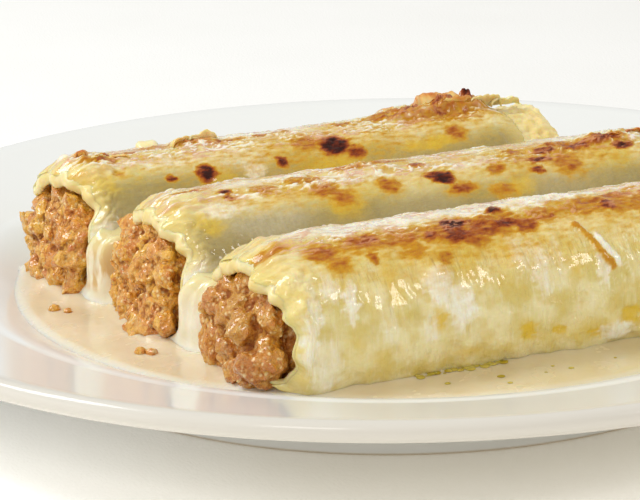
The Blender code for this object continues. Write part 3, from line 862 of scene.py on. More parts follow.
def pool_mesh():
    turns = np.linspace(0, 2 * math.pi, POOL_AROUND, endpoint=False)
    shore = SHORE_RADIUS + 0.7 * layered(np.cos(turns) * 3, np.sin(turns) * 3, 3.0)
    shares = 1 - (1 - np.linspace(0, 1, POOL_RINGS + 1)[1:]) ** 1.25
    tops, bottoms = [], []
    for share in shares:
        radius = share * shore
        x, y = radius * np.cos(turns), radius * np.sin(turns)
        glaze = well_height(radius) + 0.05
        floor = glaze - 0.5 * share ** 8
        sink = 0.15 * smoothstep(1 - (shore - radius) / 6.0) ** 2
        level, film = pool_level(x, y) - sink, glaze + 0.03
        top = 0.5 * (level + film + np.hypot(level - film, 0.3))
        top = top - 0.5 * smoothstep((share - 0.965) / 0.035)
        tops.append(np.stack([x, y, top], axis=-1))
        bottoms.append(np.stack([x, y, floor], axis=-1))
    rings = [bottoms[3]] + bottoms[8::12] + [bottoms[-1]] + tops[::-1]
    return closed_rod(rings)


def cream_finish(name, thin, thick, stain):
    """Cream sauce from thin to thick, stained, darker where it runs down, with painted shade toward the
    front right.
    """
    finish = Finish(name)
    tint = finish.mix(finish.noise(16, 3).between(0.3, 0.7), colour(*thin), colour(*thick))
    tint = finish.mix(finish.noise(5, 3, shift=4).between(0.6, 0.85) * 0.35, tint, colour(*stain))
    tint = finish.mix(finish.reach().between(0.0890, 0.0920) * 0.85, tint, colour(240, 233, 218))
    height = finish.axis("Z")
    run = finish.noise(2.2, 3, stretch=(1, 1, 4), shift=6)
    streaked = height.between(0.0155, 0.018) * height.output("Y").between(-0.012, 0.0)
    tint = finish.mix(streaked * run.between(0.38, 0.56) * 0.85, tint, colour(216, 176, 100))
    tint = finish.mix(height.between(0.021, 0.031) * 0.9, tint, colour(236, 222, 160))
    # Painted shade: the sauce in front of the plate, toward the right, is darker and greyer.
    painted_pool_shade = height.output("X").between(-0.06, 0.05) * height.output("Y").between(-0.06, -0.075)
    tint = finish.mix(painted_pool_shade * 0.7, tint, colour(206, 190, 138))
    return finish.shade({
        "Base Color": tint, "Roughness": 0.2 + 0.12 * finish.noise(6, 2), "Coat Weight": 0.5,
        "Coat Roughness": 0.06, "Normal": finish.bump(finish.noise(2.5, 2, shift=2), 0.06)},
        soft=(0.6, (1.0, 0.75, 0.45), 2.0 * MM))


pool = add_piece("cream_pool", *pool_mesh(),
                 finish=cream_finish("cream_sauce", (228, 210, 174), (238, 224, 194), (218, 192, 140)))
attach(pool, "root")
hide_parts("sauce", "sauce_near")

# =========================================================== cream between the rolls
# The same sauce, still thick from the oven, fills the valleys between the rolls.  At the cut ends
# it runs down between the meat plugs into the pool, with a rounded front and a spreading foot.

VALLEYS = {"front": ("front", "middle"), "back": ("middle", "back")}
FLOW_REACH = 1.8                    # how far its front stands before the cut ends
FLOW_FOOT, FLOW_BROW = 4.5, 5.5     # radii of its spreading foot and its rounded front
FLOW_SAG = 1.5                      # how much lower its front is than its level
FLOW_THICKNESS = 3.0
FLOW_COLUMNS, FLOW_STEPS = 57, 170
CREAM = cream_finish("thick_cream", (244, 234, 206), (249, 243, 224), (236, 218, 160))


def shell(skins, flip=False):
    """Points and faces of two skins with equal grids, sewn together round their rims."""
    rows, columns = skins[0].shape[:2]
    count = rows * columns
    faces = strip_faces(rows, columns, flip=flip)
    faces += strip_faces(rows, columns, flip=not flip, start=count)
    rim = list(range(columns))
    rim += [row * columns + columns - 1 for row in range(1, rows)]
    rim += [(rows - 1) * columns + column for column in range(columns - 2, -1, -1)]
    rim += [row * columns for row in range(rows - 2, 0, -1)]
    for first, after in zip(rim, rim[1:] + rim[:1]):
        one, other = (first, after) if flip else (after, first)
        faces.append((one, other, other + count, one + count))
    return np.concatenate([skin.reshape(-1, 3) for skin in skins]), faces


def valley_outline(lead, top, tail):
    """From the foot of the front, over the level top and down behind: x, z and the way it faces."""
    outline = []
    for turn in np.radians(np.arange(10, 86, 7)):
        outline.append((lead - FLOW_FOOT * (1 - math.sin(turn)),
                        SAUCE_LEVEL - 0.3 + FLOW_FOOT * (1 - math.cos(turn)), math.pi / 2 + turn))
    brow_base = top - FLOW_SAG - FLOW_BROW
    for height in np.arange(SAUCE_LEVEL - 0.3 + FLOW_FOOT, brow_base, 0.55):
        outline.append((lead, height, math.pi))
    for turn in np.radians(np.arange(0, 78, 6)):
        outline.append((lead + FLOW_BROW * (1 - math.cos(turn)),
                        brow_base + FLOW_BROW * math.sin(turn), math.pi - turn))
    start_x, start_z = outline[-1][:2]
    for step in range(1, FLOW_STEPS):
        x = start_x + (tail - FLOW_BROW - start_x) * (step / FLOW_STEPS) ** 1.25
        climb = 1 - np.exp(-(x - start_x) / 9.0)
        outline.append((x, start_z + (top - start_z) * climb, math.pi / 2 + 0.25 * (1 - climb.mean())))
    for turn in np.radians(np.arange(0, 91, 9)):
        outline.append((np.full(FLOW_COLUMNS, tail - FLOW_BROW * (1 - math.sin(turn))),
                        top - FLOW_BROW * (1 - math.cos(turn)), math.pi / 2 - turn))
    for height in np.arange(top - FLOW_BROW - 1, SAUCE_LEVEL - 0.4, -1.0):
        outline.append((np.full(FLOW_COLUMNS, tail), height, 0.0))
    return outline


def valley_mesh(near, far, name, seed):
    high = np.array(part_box("cream_" + name)[1]) / MM
    across = np.linspace(-1, 1, FLOW_COLUMNS)
    share = (across + 1) / 2
    lead = near.end[0] + (far.end[0] - near.end[0]) * smoothstep(share) - FLOW_REACH
    outline = valley_outline(lead, high[2], high[0])
    skins = []
    for inward in (0.0, FLOW_THICKNESS):
        rows = []
        for x, z, turn in outline:
            sides = []
            for roll, towards in ((near, 1), (far, -1)):
                axis = roll.end[1] + (x - roll.end[0]) * math.tan(roll.turn)
                above = np.clip((z - ROLL_CENTRE) / (roll.ridge - ROLL_CENTRE), 0, 1)
                below = np.clip((ROLL_CENTRE - z) / ROLL_DROP, 0, 1)
                half = ROLL_HALF_WIDTH * np.sqrt(1 - above ** 2)
                half = half * (1 - below ** (2 / UNDERSIDE_SHAPE)) ** (UNDERSIDE_SHAPE / 2)
                outside = smoothstep((roll.end[0] + 1.0 - x) / 3.0)
                sides.append(axis + towards * (half - 1.2 - 2.2 * outside))
            y = sides[0] + (sides[1] - sides[0]) * share
            facing = abs(math.cos(turn))
            hump = facing * 1.9 * (1 - across ** 2)
            hump = hump + (1 - facing) * (1.8 * across ** 4 - 0.8 * (1 - across ** 2))
            flow = 0.7 * uneven(across * 1.7, np.mean(z) / 12.0 + seed, x / 10.0) * (0.45 + 0.8 * facing)
            flow = flow + 0.2 * facing * layered(across * 3.5, np.mean(z) / 5.0, seed + 0.5)
            lift = hump + flow - inward
            rows.append(np.stack([x + lift * math.cos(turn), y, z + lift * math.sin(turn)], axis=-1))
        skins.append(np.array(rows))
    return shell(skins, flip=True)


def outward_faces(piece):
    """Turn the faces of a closed piece outwards."""
    shape = bmesh.new()
    shape.from_mesh(piece.data)
    bmesh.ops.recalc_face_normals(shape, faces=shape.faces)
    shape.to_mesh(piece.data)
    shape.free()


for name, (near, far) in VALLEYS.items():
    flow_shape = valley_mesh(rolls[near], rolls[far], name, 3 + len(name))
    flow = add_piece("cream_flow_" + name, *flow_shape, finish=CREAM)
    outward_faces(flow)
    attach(flow, "root")
    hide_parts("cream_" + name)

# =========================================================== gratin topping
# Cream sauce and cheese, baked on the rolls.  It melted into runs and folds down the sides, dried
# to pale wrinkles on the ridges, and browned in flecks and blisters where the grill reached it.

TOPPING_SIDE = math.radians(138)    # how far it runs down each side
TOPPING_START = 0.3
TOPPING_TAIL = {"front": 0.7, "middle": 0.7, "back": 9.0}   # bare pasta at the far end
SKIN_STEP = 0.42                    # distance of the points of the outside
ARC = 19.0                          # radius that turns an angle into a distance round the roll
# Browned places: along the roll, degrees from the ridge, half length, half width, strength.
BROWNED = {
    "front": [(24, 21, 12, 3.6, 0.42), (46, 22, 17, 4.4, 0.52), (92, 18, 30, 4.2, 0.46),
        (48, 38, 28, 6, 0.23), (90, 34, 24, 6, 0.21), (3, 11, 3, 2, 0.42), (12, 24, 4, 3, 0.55),
        (14, 36, 3.0, 3, 0.44), (22, 19, 5, 2.2, 0.66), (21.6, 36, 1.3, 1.6, 0.62), (31, 35, 4, 3, 0.38),
        (36.7, 25, 2.0, 1.6, 0.78), (30, 23, 5, 2.4, 0.5), (43, 16, 3.0, 2.2, 1.0),
        (42.5, 26, 3.4, 3.0, 0.84), (46, 31, 3.6, 3, 0.64), (50, 23, 5, 3.6, 0.66), (54, 9, 2.2, 1.5, 1.0),
        (54.5, 22, 3.4, 2.2, 0.84), (59, 26, 3.4, 2.6, 0.66), (64, 20, 3, 2.6, 0.56),
        (37.5, 44, 1.6, 2, 0.42), (76, 14, 5, 2.2, 0.5), (80, 20, 2.0, 2, 0.84), (84, 9, 5, 1.4, 0.6),
        (91, 12, 2.4, 1.6, 0.82), (94, 17, 2.2, 3, 0.72), (104, 14, 5, 3, 0.66), (112, 24, 5, 4, 0.5),
        (108, -14, 6, 4, 0.55)],
    "middle": [(30, 18, 16, 4.0, 0.26), (97, 18, 22, 5, 0.32), (60, 12, 18, 4, 0.2), (7.7, -1, 4, 1.0, 0.6),
        (14.6, 11, 2.0, 1.2, 0.95), (14.6, 18, 1.6, 1.0, 0.85), (24, 13, 4, 2.5, 0.45),
        (33, 8, 5, 2.2, 0.5), (37, 24, 4, 2.8, 0.50), (40, 33, 3.2, 3.2, 0.50), (47, 1, 9, 1.6, 0.44),
        (52, 28, 2.6, 2.6, 0.58), (56, -2, 6, 1.6, 0.5), (62, 9, 2.2, 1.2, 0.9), (66, 29, 2.6, 2.0, 1.1),
        (64, 24, 3, 1.2, 0.8), (69, 40, 3.6, 1.8, 0.62), (80, 27, 2.6, 1.8, 0.52), (87, 9, 3, 1.3, 0.55),
        (95, 13, 3, 1.4, 0.85), (92, 23, 3.5, 1.2, 0.82), (90, 33, 2, 1.4, 0.72), (98, 30, 4, 4, 0.5),
        (104, 12, 5, 1.8, 0.78), (112, 10, 5, 2.0, 0.82), (115, 20, 3, 1.4, 0.85), (79, 46, 3.4, 2, 0.42),
        (100, 6, 6, 1.4, 0.55)],
    "back": [(60, 18, 44, 4, 0.26), (100, 8, 14, 5, 0.46), (62, 34, 30, 4, 0.24), (7, 8, 4, 2.2, 0.56),
        (12, 3, 6, 1.0, 0.66), (9, 27, 1.6, 1.4, 0.38), (22, -6, 4, 2, 0.4), (21, 40, 1.2, 1.2, 0.8),
        (30, 39, 2.4, 2.6, 1.1), (49.5, 39, 1.6, 2.0, 0.8), (32, -2, 6, 2, 0.5), (58, 22, 4, 3.5, 0.5),
        (65, 29, 4.0, 3.2, 1.1), (70, 39, 3, 2.2, 0.7), (40, 2, 7, 1.2, 0.55), (52, 1, 7, 1.2, 0.55),
        (84, 0, 9, 2.6, 0.5), (98, 0, 9, 3.6, 0.36), (107, 2, 6, 4.0, 0.4), (98, 8, 3, 1.4, 0.72),
        (98, 34, 3.0, 2.8, 0.5), (91, -2, 3, 1.2, 0.8), (101, -3, 4, 1.2, 0.85), (108, -1, 2, 1.6, 0.9),
        (88, 5, 5, 1.0, 0.66), (104, 12, 4, 1.2, 0.6), (72, 2, 4, 1.5, 0.5), (90, 12, 5, 2.0, 0.42)],
}
# Raised, crisp stretches of the ridge: along, degrees, half length, half angle, height.
RAISED = {
    "front": [(66, 6, 14, 14, 0.9), (96, 4, 9, 12, 0.7)],
    "middle": [(114, 6, 9, 12, 1.3), (50, 4, 10, 12, 0.8)],
    "back": [(106, -2, 8, 12, 2.8), (107.5, -3, 1.7, 5, 2.2), (92, -2, 12, 14, 1.8), (33, -6, 7, 12, 1.0),
        (4, 0, 6, 34, 0.9)],
}
# Places where white sauce lies on top, with painted sheen and reflection in them, and places where yellow
# oil shows through.
WHITE_AND_SHEEN = {
    "front": [(10, 52, 1.8, 4, 0.7), (14, 62, 1.8, 5, 0.9), (6, 66, 1.8, 6, 0.6), (34, 62, 3.2, 4.5, 0.9),
        (38, 78, 3.4, 5, 0.9), (31, 88, 3, 3, 0.5), (54, 50, 2.2, 6, 0.6), (58, 60, 2.4, 7, 0.7),
        (63, 52, 1.8, 6, 0.5), (4, 88, 3, 7, 0.7), (8, 104, 4, 7, 0.6), (60, -2, 26, 3.4, 1.1),
        (100, 2, 16, 3, 1.0), (25, -3, 17, 4.2, 1.0), (76, 112, 4, 3, 1.0), (73, 62, 1.6, 7, 0.7),
        (92, 52, 8, 6, 0.45), (22, 84, 3, 5, 0.4)],
    "middle": [(3, 92, 5, 9, 0.9), (12, 28, 6, 3, 0.8), (43, 14, 10, 2.4, 0.9), (75, 15, 8, 3, 0.7),
        (20, 45, 12, 5, 0.4), (60, 50, 12, 6, 0.25), (95, 44, 14, 5, 0.3), (105, -6, 12, 4, 0.7),
        (24, 0, 14, 2.4, 0.8)],
    "back": [(3, 92, 5, 9, 0.9), (22, 20, 12, 3, 0.6), (40, 30, 8, 5, 0.5), (42, 42, 3, 2.4, 0.9),
        (85, 28, 10, 4, 0.4), (50, -6, 16, 4, 0.8), (75, 12, 8, 3, 0.6), (20, -10, 12, 4, 0.6)],
}
OILY = {
    "front": [(33, 85, 1.8, 2.2, 1.1), (54, 100, 2.2, 2.4, 1.2), (62, 104, 1.8, 2.0, 1.1),
        (71, 110, 2, 1.8, 1.0), (79, 101, 2.8, 2.4, 1.2), (88, 98, 3, 3, 0.9), (20, 100, 4, 2.4, 0.5),
        (40, 108, 5, 2, 0.6), (24, 60, 1.6, 6, 0.5), (66, 62, 1.6, 3, 0.6), (99, 92, 3.4, 3.4, 1.1),
        (110, 100, 5, 3, 0.8), (46, 40, 9, 4, 0.4), (72, 106, 26, 3, 0.45), (14, 96, 2.4, 4, 0.45)],
    "middle": [(7.5, 40, 3.2, 3.6, 0.8), (40, 40, 5, 4, 0.7), (30, 20, 5, 3, 0.6), (84, 44, 4, 3, 0.8),
        (96, 30, 4, 3, 0.7), (110, 30, 8, 4, 0.5), (60, 36, 16, 3, 0.35)],
    "back": [(5.5, 36, 2.8, 3.6, 0.7), (9, 27, 1.2, 1.2, 1.0), (62, 46, 9, 3, 0.8), (90, 40, 9, 2.4, 0.9),
        (98, 34, 3.2, 2.8, 0.9), (33, 46, 5, 3, 0.7), (80, 24, 20, 3, 0.35)],
}
# A shred that melted on to the side: its upper and lower end (along, degrees) and half its width.
SHREDS = {"front": ((69.0, 30), (75.5, 72), 0.75)}


def patches(listed, along, arc, seed, ragged, soft):
    """The strongest of the listed places at each point, each with a ragged core and a soft halo."""
    strongest = np.zeros(along.shape)
    along = along + ragged * layered(along / 2.4, arc / 1.3, seed, 31)
    arc = arc + 0.7 * ragged * layered(along / 2.2, arc / 1.4, seed + 0.5, 37)
    for place, degrees, half_length, half_width, strength in listed:
        apart = np.hypot((along - place) / half_length, (arc - math.radians(degrees) * ARC) / half_width)
        core = strength * smoothstep(1.35 - 0.85 * apart)
        halo = min(strength, soft) * np.exp(-(apart / 1.5) ** 2)
        halo = np.maximum(halo, min(strength, 0.6 * soft) * np.exp(-(apart / 2.3) ** 2))
        strongest = np.maximum(strongest, np.maximum(core, halo))
    return strongest


def ridged(value, width):
    """Thin crests where a smooth pseudo-random value crosses zero."""
    return smoothstep(1 - np.abs(value) / width)


def melted_shred(shred, along, arc, seed):
    """How far down a shred each point lies, and its brown strip and the pale one beside it."""
    (start, first), (end, last), half = shred
    run, rise = end - start, math.radians(last - first) * ARC
    beside, below = along - start, arc - math.radians(first) * ARC
    share = (beside * run + below * rise) / (run ** 2 + rise ** 2)
    aside = (beside * rise - below * run) / math.hypot(run, rise)
    aside = aside + 0.7 * layered(along / 2.2, arc / 2.2, seed + 13)
    within = smoothstep(share / 0.08) * smoothstep((1 - share) / 0.1)
    strip = within * smoothstep(1.6 - np.abs(aside) / half)
    pale = within * smoothstep(1.5 - np.abs(aside - 2.1 * half) / half) * smoothstep((share - 0.25) / 0.2)
    return share, strip, pale


def topping_relief(roll, along, angle):
    """How far the topping stands out, and how browned, white (white sauce with painted sheen), oily and
    wrinkled it is.
    """
    arc = angle * ARC
    seed = roll.seed * 3.7
    turned = np.abs(angle)
    crown = smoothstep((math.radians(56) - turned) / math.radians(30))
    side = 1 - crown
    unseen = smoothstep((math.radians(-18) - angle) / 0.3)
    scattered = smoothstep((layered(along / 8, arc / 5, seed + 9) - 0.12) / 0.4)
    scattered *= unseen * smoothstep((math.radians(72) - turned) / 0.5)
    flecks = layered(along / 2.0, arc / 1.0, seed, 3, 3)
    bend = layered(along / 9, arc / 8, seed + 1)
    fold = uneven(along / 6.5 + 0.7 * bend, arc / 1.25 + 1.2 * bend, seed, 1)
    crease = uneven(along / 3.6 - bend, arc / 0.85, seed, 2)
    wrinkle = np.maximum(ridged(fold, 0.2), 0.8 * ridged(crease, 0.17))
    wrinkle *= smoothstep((math.radians(30) - angle) / 0.28)
    wrinkle *= smoothstep((math.radians(50) + angle) / 0.3)
    wrinkle *= 0.3 + 0.7 * smoothstep(0.6 + 1.2 * layered(along / 11, arc / 4.5, seed + 5))
    toast = patches(BROWNED[roll.name], along, arc, seed, 1.3, 0.42)
    toast = np.maximum(toast, 0.8 * scattered)
    toast = np.clip(toast * (0.92 + 0.4 * flecks) + 0.05 * crown * (flecks + fold), 0, 1)
    # White places: white sauce on top, partly painted sheen and reflection of the lamps.
    white = patches(WHITE_AND_SHEEN[roll.name], along, arc, seed + 2, 2.0, 0.3)
    oily = patches(OILY[roll.name], along, arc, seed + 4, 1.9, 0.55)
    across = along - 0.34 * arc * np.sign(angle) + 1.6 * bend
    runs = layered(across / 4.2, arc / 18, seed + 3)
    melt = np.maximum(uneven(across / 6.5, arc / 9.0, seed, 8), -0.15)
    fibre = ridged(uneven(across / 1.05 + 0.6 * bend, arc / 8, seed, 4), 0.26)
    fibre *= side * smoothstep(0.3 + 1.6 * layered(along / 14, arc / 12, seed + 6))
    fibre *= smoothstep((math.radians(95) - turned) / 0.35) * smoothstep((along - 14) / 12)
    fibre *= {"front": 0.9, "middle": 0.2, "back": 0.15}[roll.name]
    lift = 0.5 * layered(along / 11, arc / 9, seed + 7) - 0.15
    lift += side * (0.5 * runs + 0.6 * melt) + 0.42 * wrinkle + 0.2 * fibre
    bubbly = smoothstep((10 - along) / 5) * smoothstep((math.radians(85) - turned) / 0.4)
    lift += bubbly * (1.1 * np.abs(uneven(along / 2.2, arc / 2.4, seed, 41)) - 0.15)
    lift += crown * 0.35 * layered(along / 4.5, arc / 2.2, seed, 12)
    lift += 0.4 * white * side + 0.2 * np.minimum(toast, 0.6)
    lift += toast * crown * (0.5 * np.abs(uneven(along / 2.2, arc / 0.95, seed, 6)) - 0.12) - 0.25 * oily
    if roll.name in SHREDS:
        share, strip, pale = melted_shred(SHREDS[roll.name], along, arc, seed)
        burnt = 0.34 + 0.3 * smoothstep(0.25 - share) / 0.25
        toast = np.maximum(toast * (1 - 0.7 * pale), strip * burnt)
        white = np.maximum(white, pale)
        lift += 0.7 * strip + 0.5 * pale
    lift += 0.7 * smoothstep((turned - math.radians(98)) / 0.6)
    for place, degrees, half_length, half_angle, height in RAISED[roll.name]:
        apart = ((along - place) / half_length) ** 2 + ((np.degrees(angle) - degrees) / half_angle) ** 2
        lift += height * smoothstep(1.25 - apart) * (0.8 + 0.45 * flecks)
    return lift, toast, white, oily, wrinkle, 0.85 * fibre


def topping_mesh(roll):
    """The topping's fine outside over a coarser underside, and the values that its looks need."""
    start, end = TOPPING_START, roll.length - TOPPING_TAIL[roll.name]
    rows = int((end - start) / SKIN_STEP)
    columns = int(2 * TOPPING_SIDE * ARC / SKIN_STEP)
    shares = np.linspace(0, 1, rows)
    angles = np.linspace(-TOPPING_SIDE, TOPPING_SIDE, columns)
    along, angle = np.meshgrid(start + (end - start) * shares, angles, indexing="ij")
    lift, toast, white, oily, threads, fibre = topping_relief(roll, along, angle)
    near_edge = smoothstep((along - start) / 4.0) ** 0.5
    far_width = 3.0 if TOPPING_TAIL[roll.name] < 5 else 9.0
    far_edge = smoothstep((end - along) / far_width) ** 0.5
    side_edge = np.sqrt(np.clip((TOPPING_SIDE - np.abs(angle)) * ARC / 2.0, 0, 1))
    rounding = near_edge * far_edge * side_edge
    depth = (1 - rounding) * (PASTA_DEPTH + 0.4) - lift * rounding
    near = 1 - smoothstep((along - start) / 20)
    frill = edge_frill(roll, angles, True)[None, :] * (1 - smoothstep(along / 7))
    ragged_tail = 2.2 * layered(angle * 2.4, np.ones_like(angle), roll.seed + 0.7)
    tail = ragged_tail * (1 - smoothstep((end - along) / 12))
    place = along - end_shift(angle) * near - frill + tail
    outer = roll.point(place, angle, depth)
    under_rows = np.unique(np.concatenate([np.arange(0, rows, 8), [rows - 1]]))
    inner = roll.point(place[under_rows], angle[under_rows], PASTA_DEPTH + 0.45)
    count = rows * columns
    faces = strip_faces(rows, columns, flip=True)

    def under(row, column):
        return count + row * columns + column

    for row in range(len(under_rows) - 1):
        for column in range(columns - 1):
            faces.append((under(row, column), under(row, column + 1), under(row + 1, column + 1),
                          under(row + 1, column)))
        for column, order in ((0, 1), (columns - 1, -1)):
            run = [step * columns + column for step in range(under_rows[row], under_rows[row + 1] + 1)]
            loop = run + [under(row + 1, column), under(row, column)]
            faces.append(tuple(loop[::order]))
    last = len(under_rows) - 1
    for column in range(columns - 1):
        faces.append((column, column + 1, under(0, column + 1), under(0, column)))
        top = (rows - 1) * columns
        faces.append((top + column + 1, top + column, under(last, column), under(last, column + 1)))
    points = np.concatenate([outer.reshape(-1, 3), inner.reshape(-1, 3)])
    bare = np.maximum(1 - smoothstep((along - start) / 6.5), 1 - smoothstep((end - along) / far_width))
    on_front = float(roll.name == "front")
    fields = {"toast": toast, "white": white, "oily": oily, "threads": threads * rounding,
              "fibre": fibre * rounding, "bare": bare, "front": np.full(along.shape, on_front),
              "combed": on_front * smoothstep((angle - math.radians(32)) / 0.3),
              "crown": smoothstep((math.radians(34) - np.abs(angle)) / 0.3),
              # thin: the near sides of the middle and back rolls, darker as thin sauce over pasta and as
              # painted shade from the roll in front.
              "thin": (1 - on_front) * smoothstep((angle - math.radians(24)) / 0.4)}
    below = np.zeros(inner.size // 3)
    fields = {key: np.concatenate([value.ravel(), below]) for key, value in fields.items()}
    lay = np.stack([along, angle * ARC, np.full(along.shape, 10.0 * roll.seed)], axis=-1) * MM
    fields["lay"] = np.concatenate([lay.reshape(-1, 3), lay[under_rows].reshape(-1, 3)])
    return points, faces, fields


def gratin_finish():
    finish = Finish("gratin_crust")
    lay = finish.attribute("lay", "Vector")
    toast, white = finish.attribute("toast"), finish.attribute("white")
    oily, threads = finish.attribute("oily"), finish.attribute("threads")
    bare, fibre = finish.attribute("bare"), finish.attribute("fibre")
    cloud = finish.noise(9, 3, lay)
    tint = finish.mix(cloud.between(0.36, 0.62), colour(222, 204, 128), colour(240, 228, 176))
    lean = finish.noise(0.9, 3, lay, stretch=(1, 6, 1))
    combed, front = finish.attribute("combed"), finish.attribute("front")
    tint = finish.mix(lean.between(0.5, 0.7) * (0.08 + 0.2 * combed), tint, colour(250, 242, 208))
    tint = finish.mix(fibre.between(0.3, 0.9) * 0.45, tint, colour(250, 240, 206))
    mottle = finish.noise(4.5, 2, lay, shift=12).between(0.45, 0.65)
    tint = finish.mix(mottle * (0.2 + 0.3 * combed), tint, colour(216, 188, 84))
    # Thin sauce over pasta and painted shade: the near sides of the middle and back rolls are darker and
    # greyer.
    tint = finish.mix(finish.attribute("thin") * 0.85, tint, colour(152, 134, 80))
    tint = finish.mix(bare * 0.75, tint, colour(240, 216, 132))
    tint = finish.mix(oily.between(0.05, 1.15) * 0.85, tint, colour(228, 190, 2))
    crimp = finish.noise(0.7, 2, lay, stretch=(1, 2.5, 1), shift=8)
    # White sauce with painted sheen: pale streaky patches that also stand in for lamp reflections on the
    # glossy cheese.
    white_and_sheen = (white + (lean - 0.5) * 0.8 * combed * white.between(0.05, 0.4)).between(0.1, 1.0)
    tint = finish.mix(white_and_sheen * (0.3 + 0.9 * crimp), tint, colour(253, 249, 236))
    amber = finish.noise(2.6, 3, lay, stretch=(2.2, 1, 1), shift=15).between(0.46, 0.62)
    amber = amber * finish.attribute("crown") * (1 - threads) * (1 - 0.8 * white_and_sheen)
    tint = finish.mix(amber * (0.66 - 0.34 * front), tint, colour(220, 168, 84))
    tint = finish.mix(threads.between(0.15, 0.8) * 0.9, tint, colour(253, 243, 226))
    heat = toast + (finish.noise(0.9, 3, lay, stretch=(2.5, 1, 1)) - 0.5) * 0.5 * toast.between(0.1, 0.6)
    heat = (heat - threads * 0.22 - fibre * 0.1).clamped()
    scorch = finish.node("ShaderNodeValToRGB", {"stops": [
        (0.0, colour(226, 194, 60)), (0.2, colour(214, 166, 4)), (0.36, colour(196, 134, 0)),
        (0.52, colour(176, 98, 0)), (0.68, colour(146, 62, 2)), (0.84, colour(98, 32, 8)),
        (1.0, colour(54, 16, 8))]}, {"Fac": heat})
    tint = finish.mix(heat.between(0.06, 0.32), tint, scorch)
    blush = threads.between(0.03, 0.3) * (1 - threads.between(0.4, 0.8))
    tint = finish.mix(blush * finish.noise(7, 2, lay, shift=9).between(0.42, 0.6) * 0.65, tint,
                      colour(212, 148, 108))
    skin = finish.bump(finish.noise(0.55, 3, lay, stretch=(2.2, 1, 1)), 0.18)
    skin = finish.bump(finish.noise(0.8, 2, lay, stretch=(1, 5, 1), shift=3) * (0.2 + combed), 0.36, skin)
    skin = finish.bump(finish.noise(2.2, 2, lay, stretch=(1, 1.6, 1), shift=5), 0.3, skin)
    return finish.shade({
        "Base Color": tint, "Roughness": 0.14 + 0.3 * finish.noise(3, 2, lay, shift=6),
        "Specular IOR Level": 0.2, "Coat Weight": (1 - heat * 1.1).clamped() * 0.9,
        "Coat Roughness": 0.08, "Normal": skin}, soft=(0.45, (1.0, 0.65, 0.22), 1.4 * MM))


GRATIN = gratin_finish()
for name, roll in rolls.items():
    skin_points, skin_faces, fields = topping_mesh(roll)
    crust = add_piece("gratin_crust_" + name, skin_points, skin_faces, finish=GRATIN)
    for key, values in fields.items():
        store(crust.data, key, values)
    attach(crust, "root")
    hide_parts("gratin_" + name)

# =========================================================== crisp shreds
# Shreds and torn flaps of cheese that stood up from the topping and dried out: thin, bent, amber
# with burnt edges.  They are fast to the topping where they grew out of it.

# Each: along, degrees, half length, height, lean in degrees over its height, thickness, browning
# from 0 to 1, and how ragged its edge is.
FLAPS = {
    "middle": [(115, 2, 4, 1.9, 6, 0.7, 0.34, 0.4), (121, 1, 3, 2.3, 6, 0.7, 0.4, 0.4),
        (126, -1, 3, 1.6, 8, 0.7, 0.1, 0.4)],
    "back": [(89, -3, 6, 2.4, -10, 0.8, 0.26, 0.3), (100.5, -4, 8, 4.7, -5, 0.9, 0.3, 0.16),
        (104, 0, 5, 4.2, 3, 0.9, 0.22, 0.3), (112, -3, 5, 3.6, 8, 0.9, 0.04, 0.3),
        (118, -4, 4, 2.2, 8, 0.8, 0.0, 0.4), (35, -8, 4, 3.0, 4, 1.0, 0.06, 0.3),
        (30, -7, 4, 2.5, 6, 1.0, 0.1, 0.3), (22, -9, 2.6, 2.4, -8, 1.0, 0.04, 0.25),
        (3.5, -4, 1.6, 2.6, 4, 1.1, 0.3, 0.3), (7, 0, 2.4, 1.8, 6, 0.9, 0.1, 0.4),
        (12, 0, 3, 0.9, 8, 0.8, 0.22, 0.4)],
}


def flap_mesh(roll, place, degrees, half_length, height, lean, thickness, brown, ragged, seed):
    """A bent flap that grows out of the topping, with a torn upper edge and a rounded rim."""
    columns = max(9, int(half_length * 2 / 0.4))
    rise, run = np.meshgrid(np.linspace(0, 1, 11), np.linspace(-1, 1, columns), indexing="ij")
    torn = 1 + ragged * layered(run * half_length / 2.4, seed * 1.3, 0.5)
    top = height * np.sqrt(np.clip(1 - run ** 4, 0, 1)) * np.clip(torn, 0.25, 1.3)
    wave = 4.0 * uneven(run * half_length / 4.5, seed * 0.7, 1.5)
    wave = wave + uneven(run * half_length / 1.5, rise * 1.5, seed)
    angle = np.radians(degrees + lean * rise ** 1.6 + wave * (0.4 + 0.6 * rise))
    along = place + run * half_length + 0.4 * uneven(run * 3, rise * 3, seed)
    raised = rise * top + 0.12 * uneven(run * half_length / 0.8, rise * height / 0.8, seed + 2)
    middle = roll.point(along, angle, -raised + 0.7)
    normal = np.cross(np.gradient(middle, axis=0), np.gradient(middle, axis=1))
    normal /= np.linalg.norm(normal, axis=-1)[..., None] + 1e-9
    rim = np.clip(np.minimum((1 - rise) * 3.2, (1 - np.abs(run)) * 4), 0, 1)
    half = (thickness / 2 * (0.12 + 0.88 * np.sqrt(rim)))[..., None]
    points, faces = shell([middle + normal * half, middle - normal * half])
    scorched = 0.55 + 0.25 * rise + 0.6 * smoothstep((rise - 0.72) / 0.28)
    patchy = layered(run * half_length / 2.2, rise * 1.6, seed + 4)
    toast = np.clip(brown * (scorched + 0.9 * patchy), 0, 1)
    lay = np.stack([along, angle * ARC + 3 * rise, np.full(along.shape, 50.0 + seed)], axis=-1) * MM
    return points, faces, np.tile(toast.ravel(), 2), np.tile(lay.reshape(-1, 3), (2, 1))


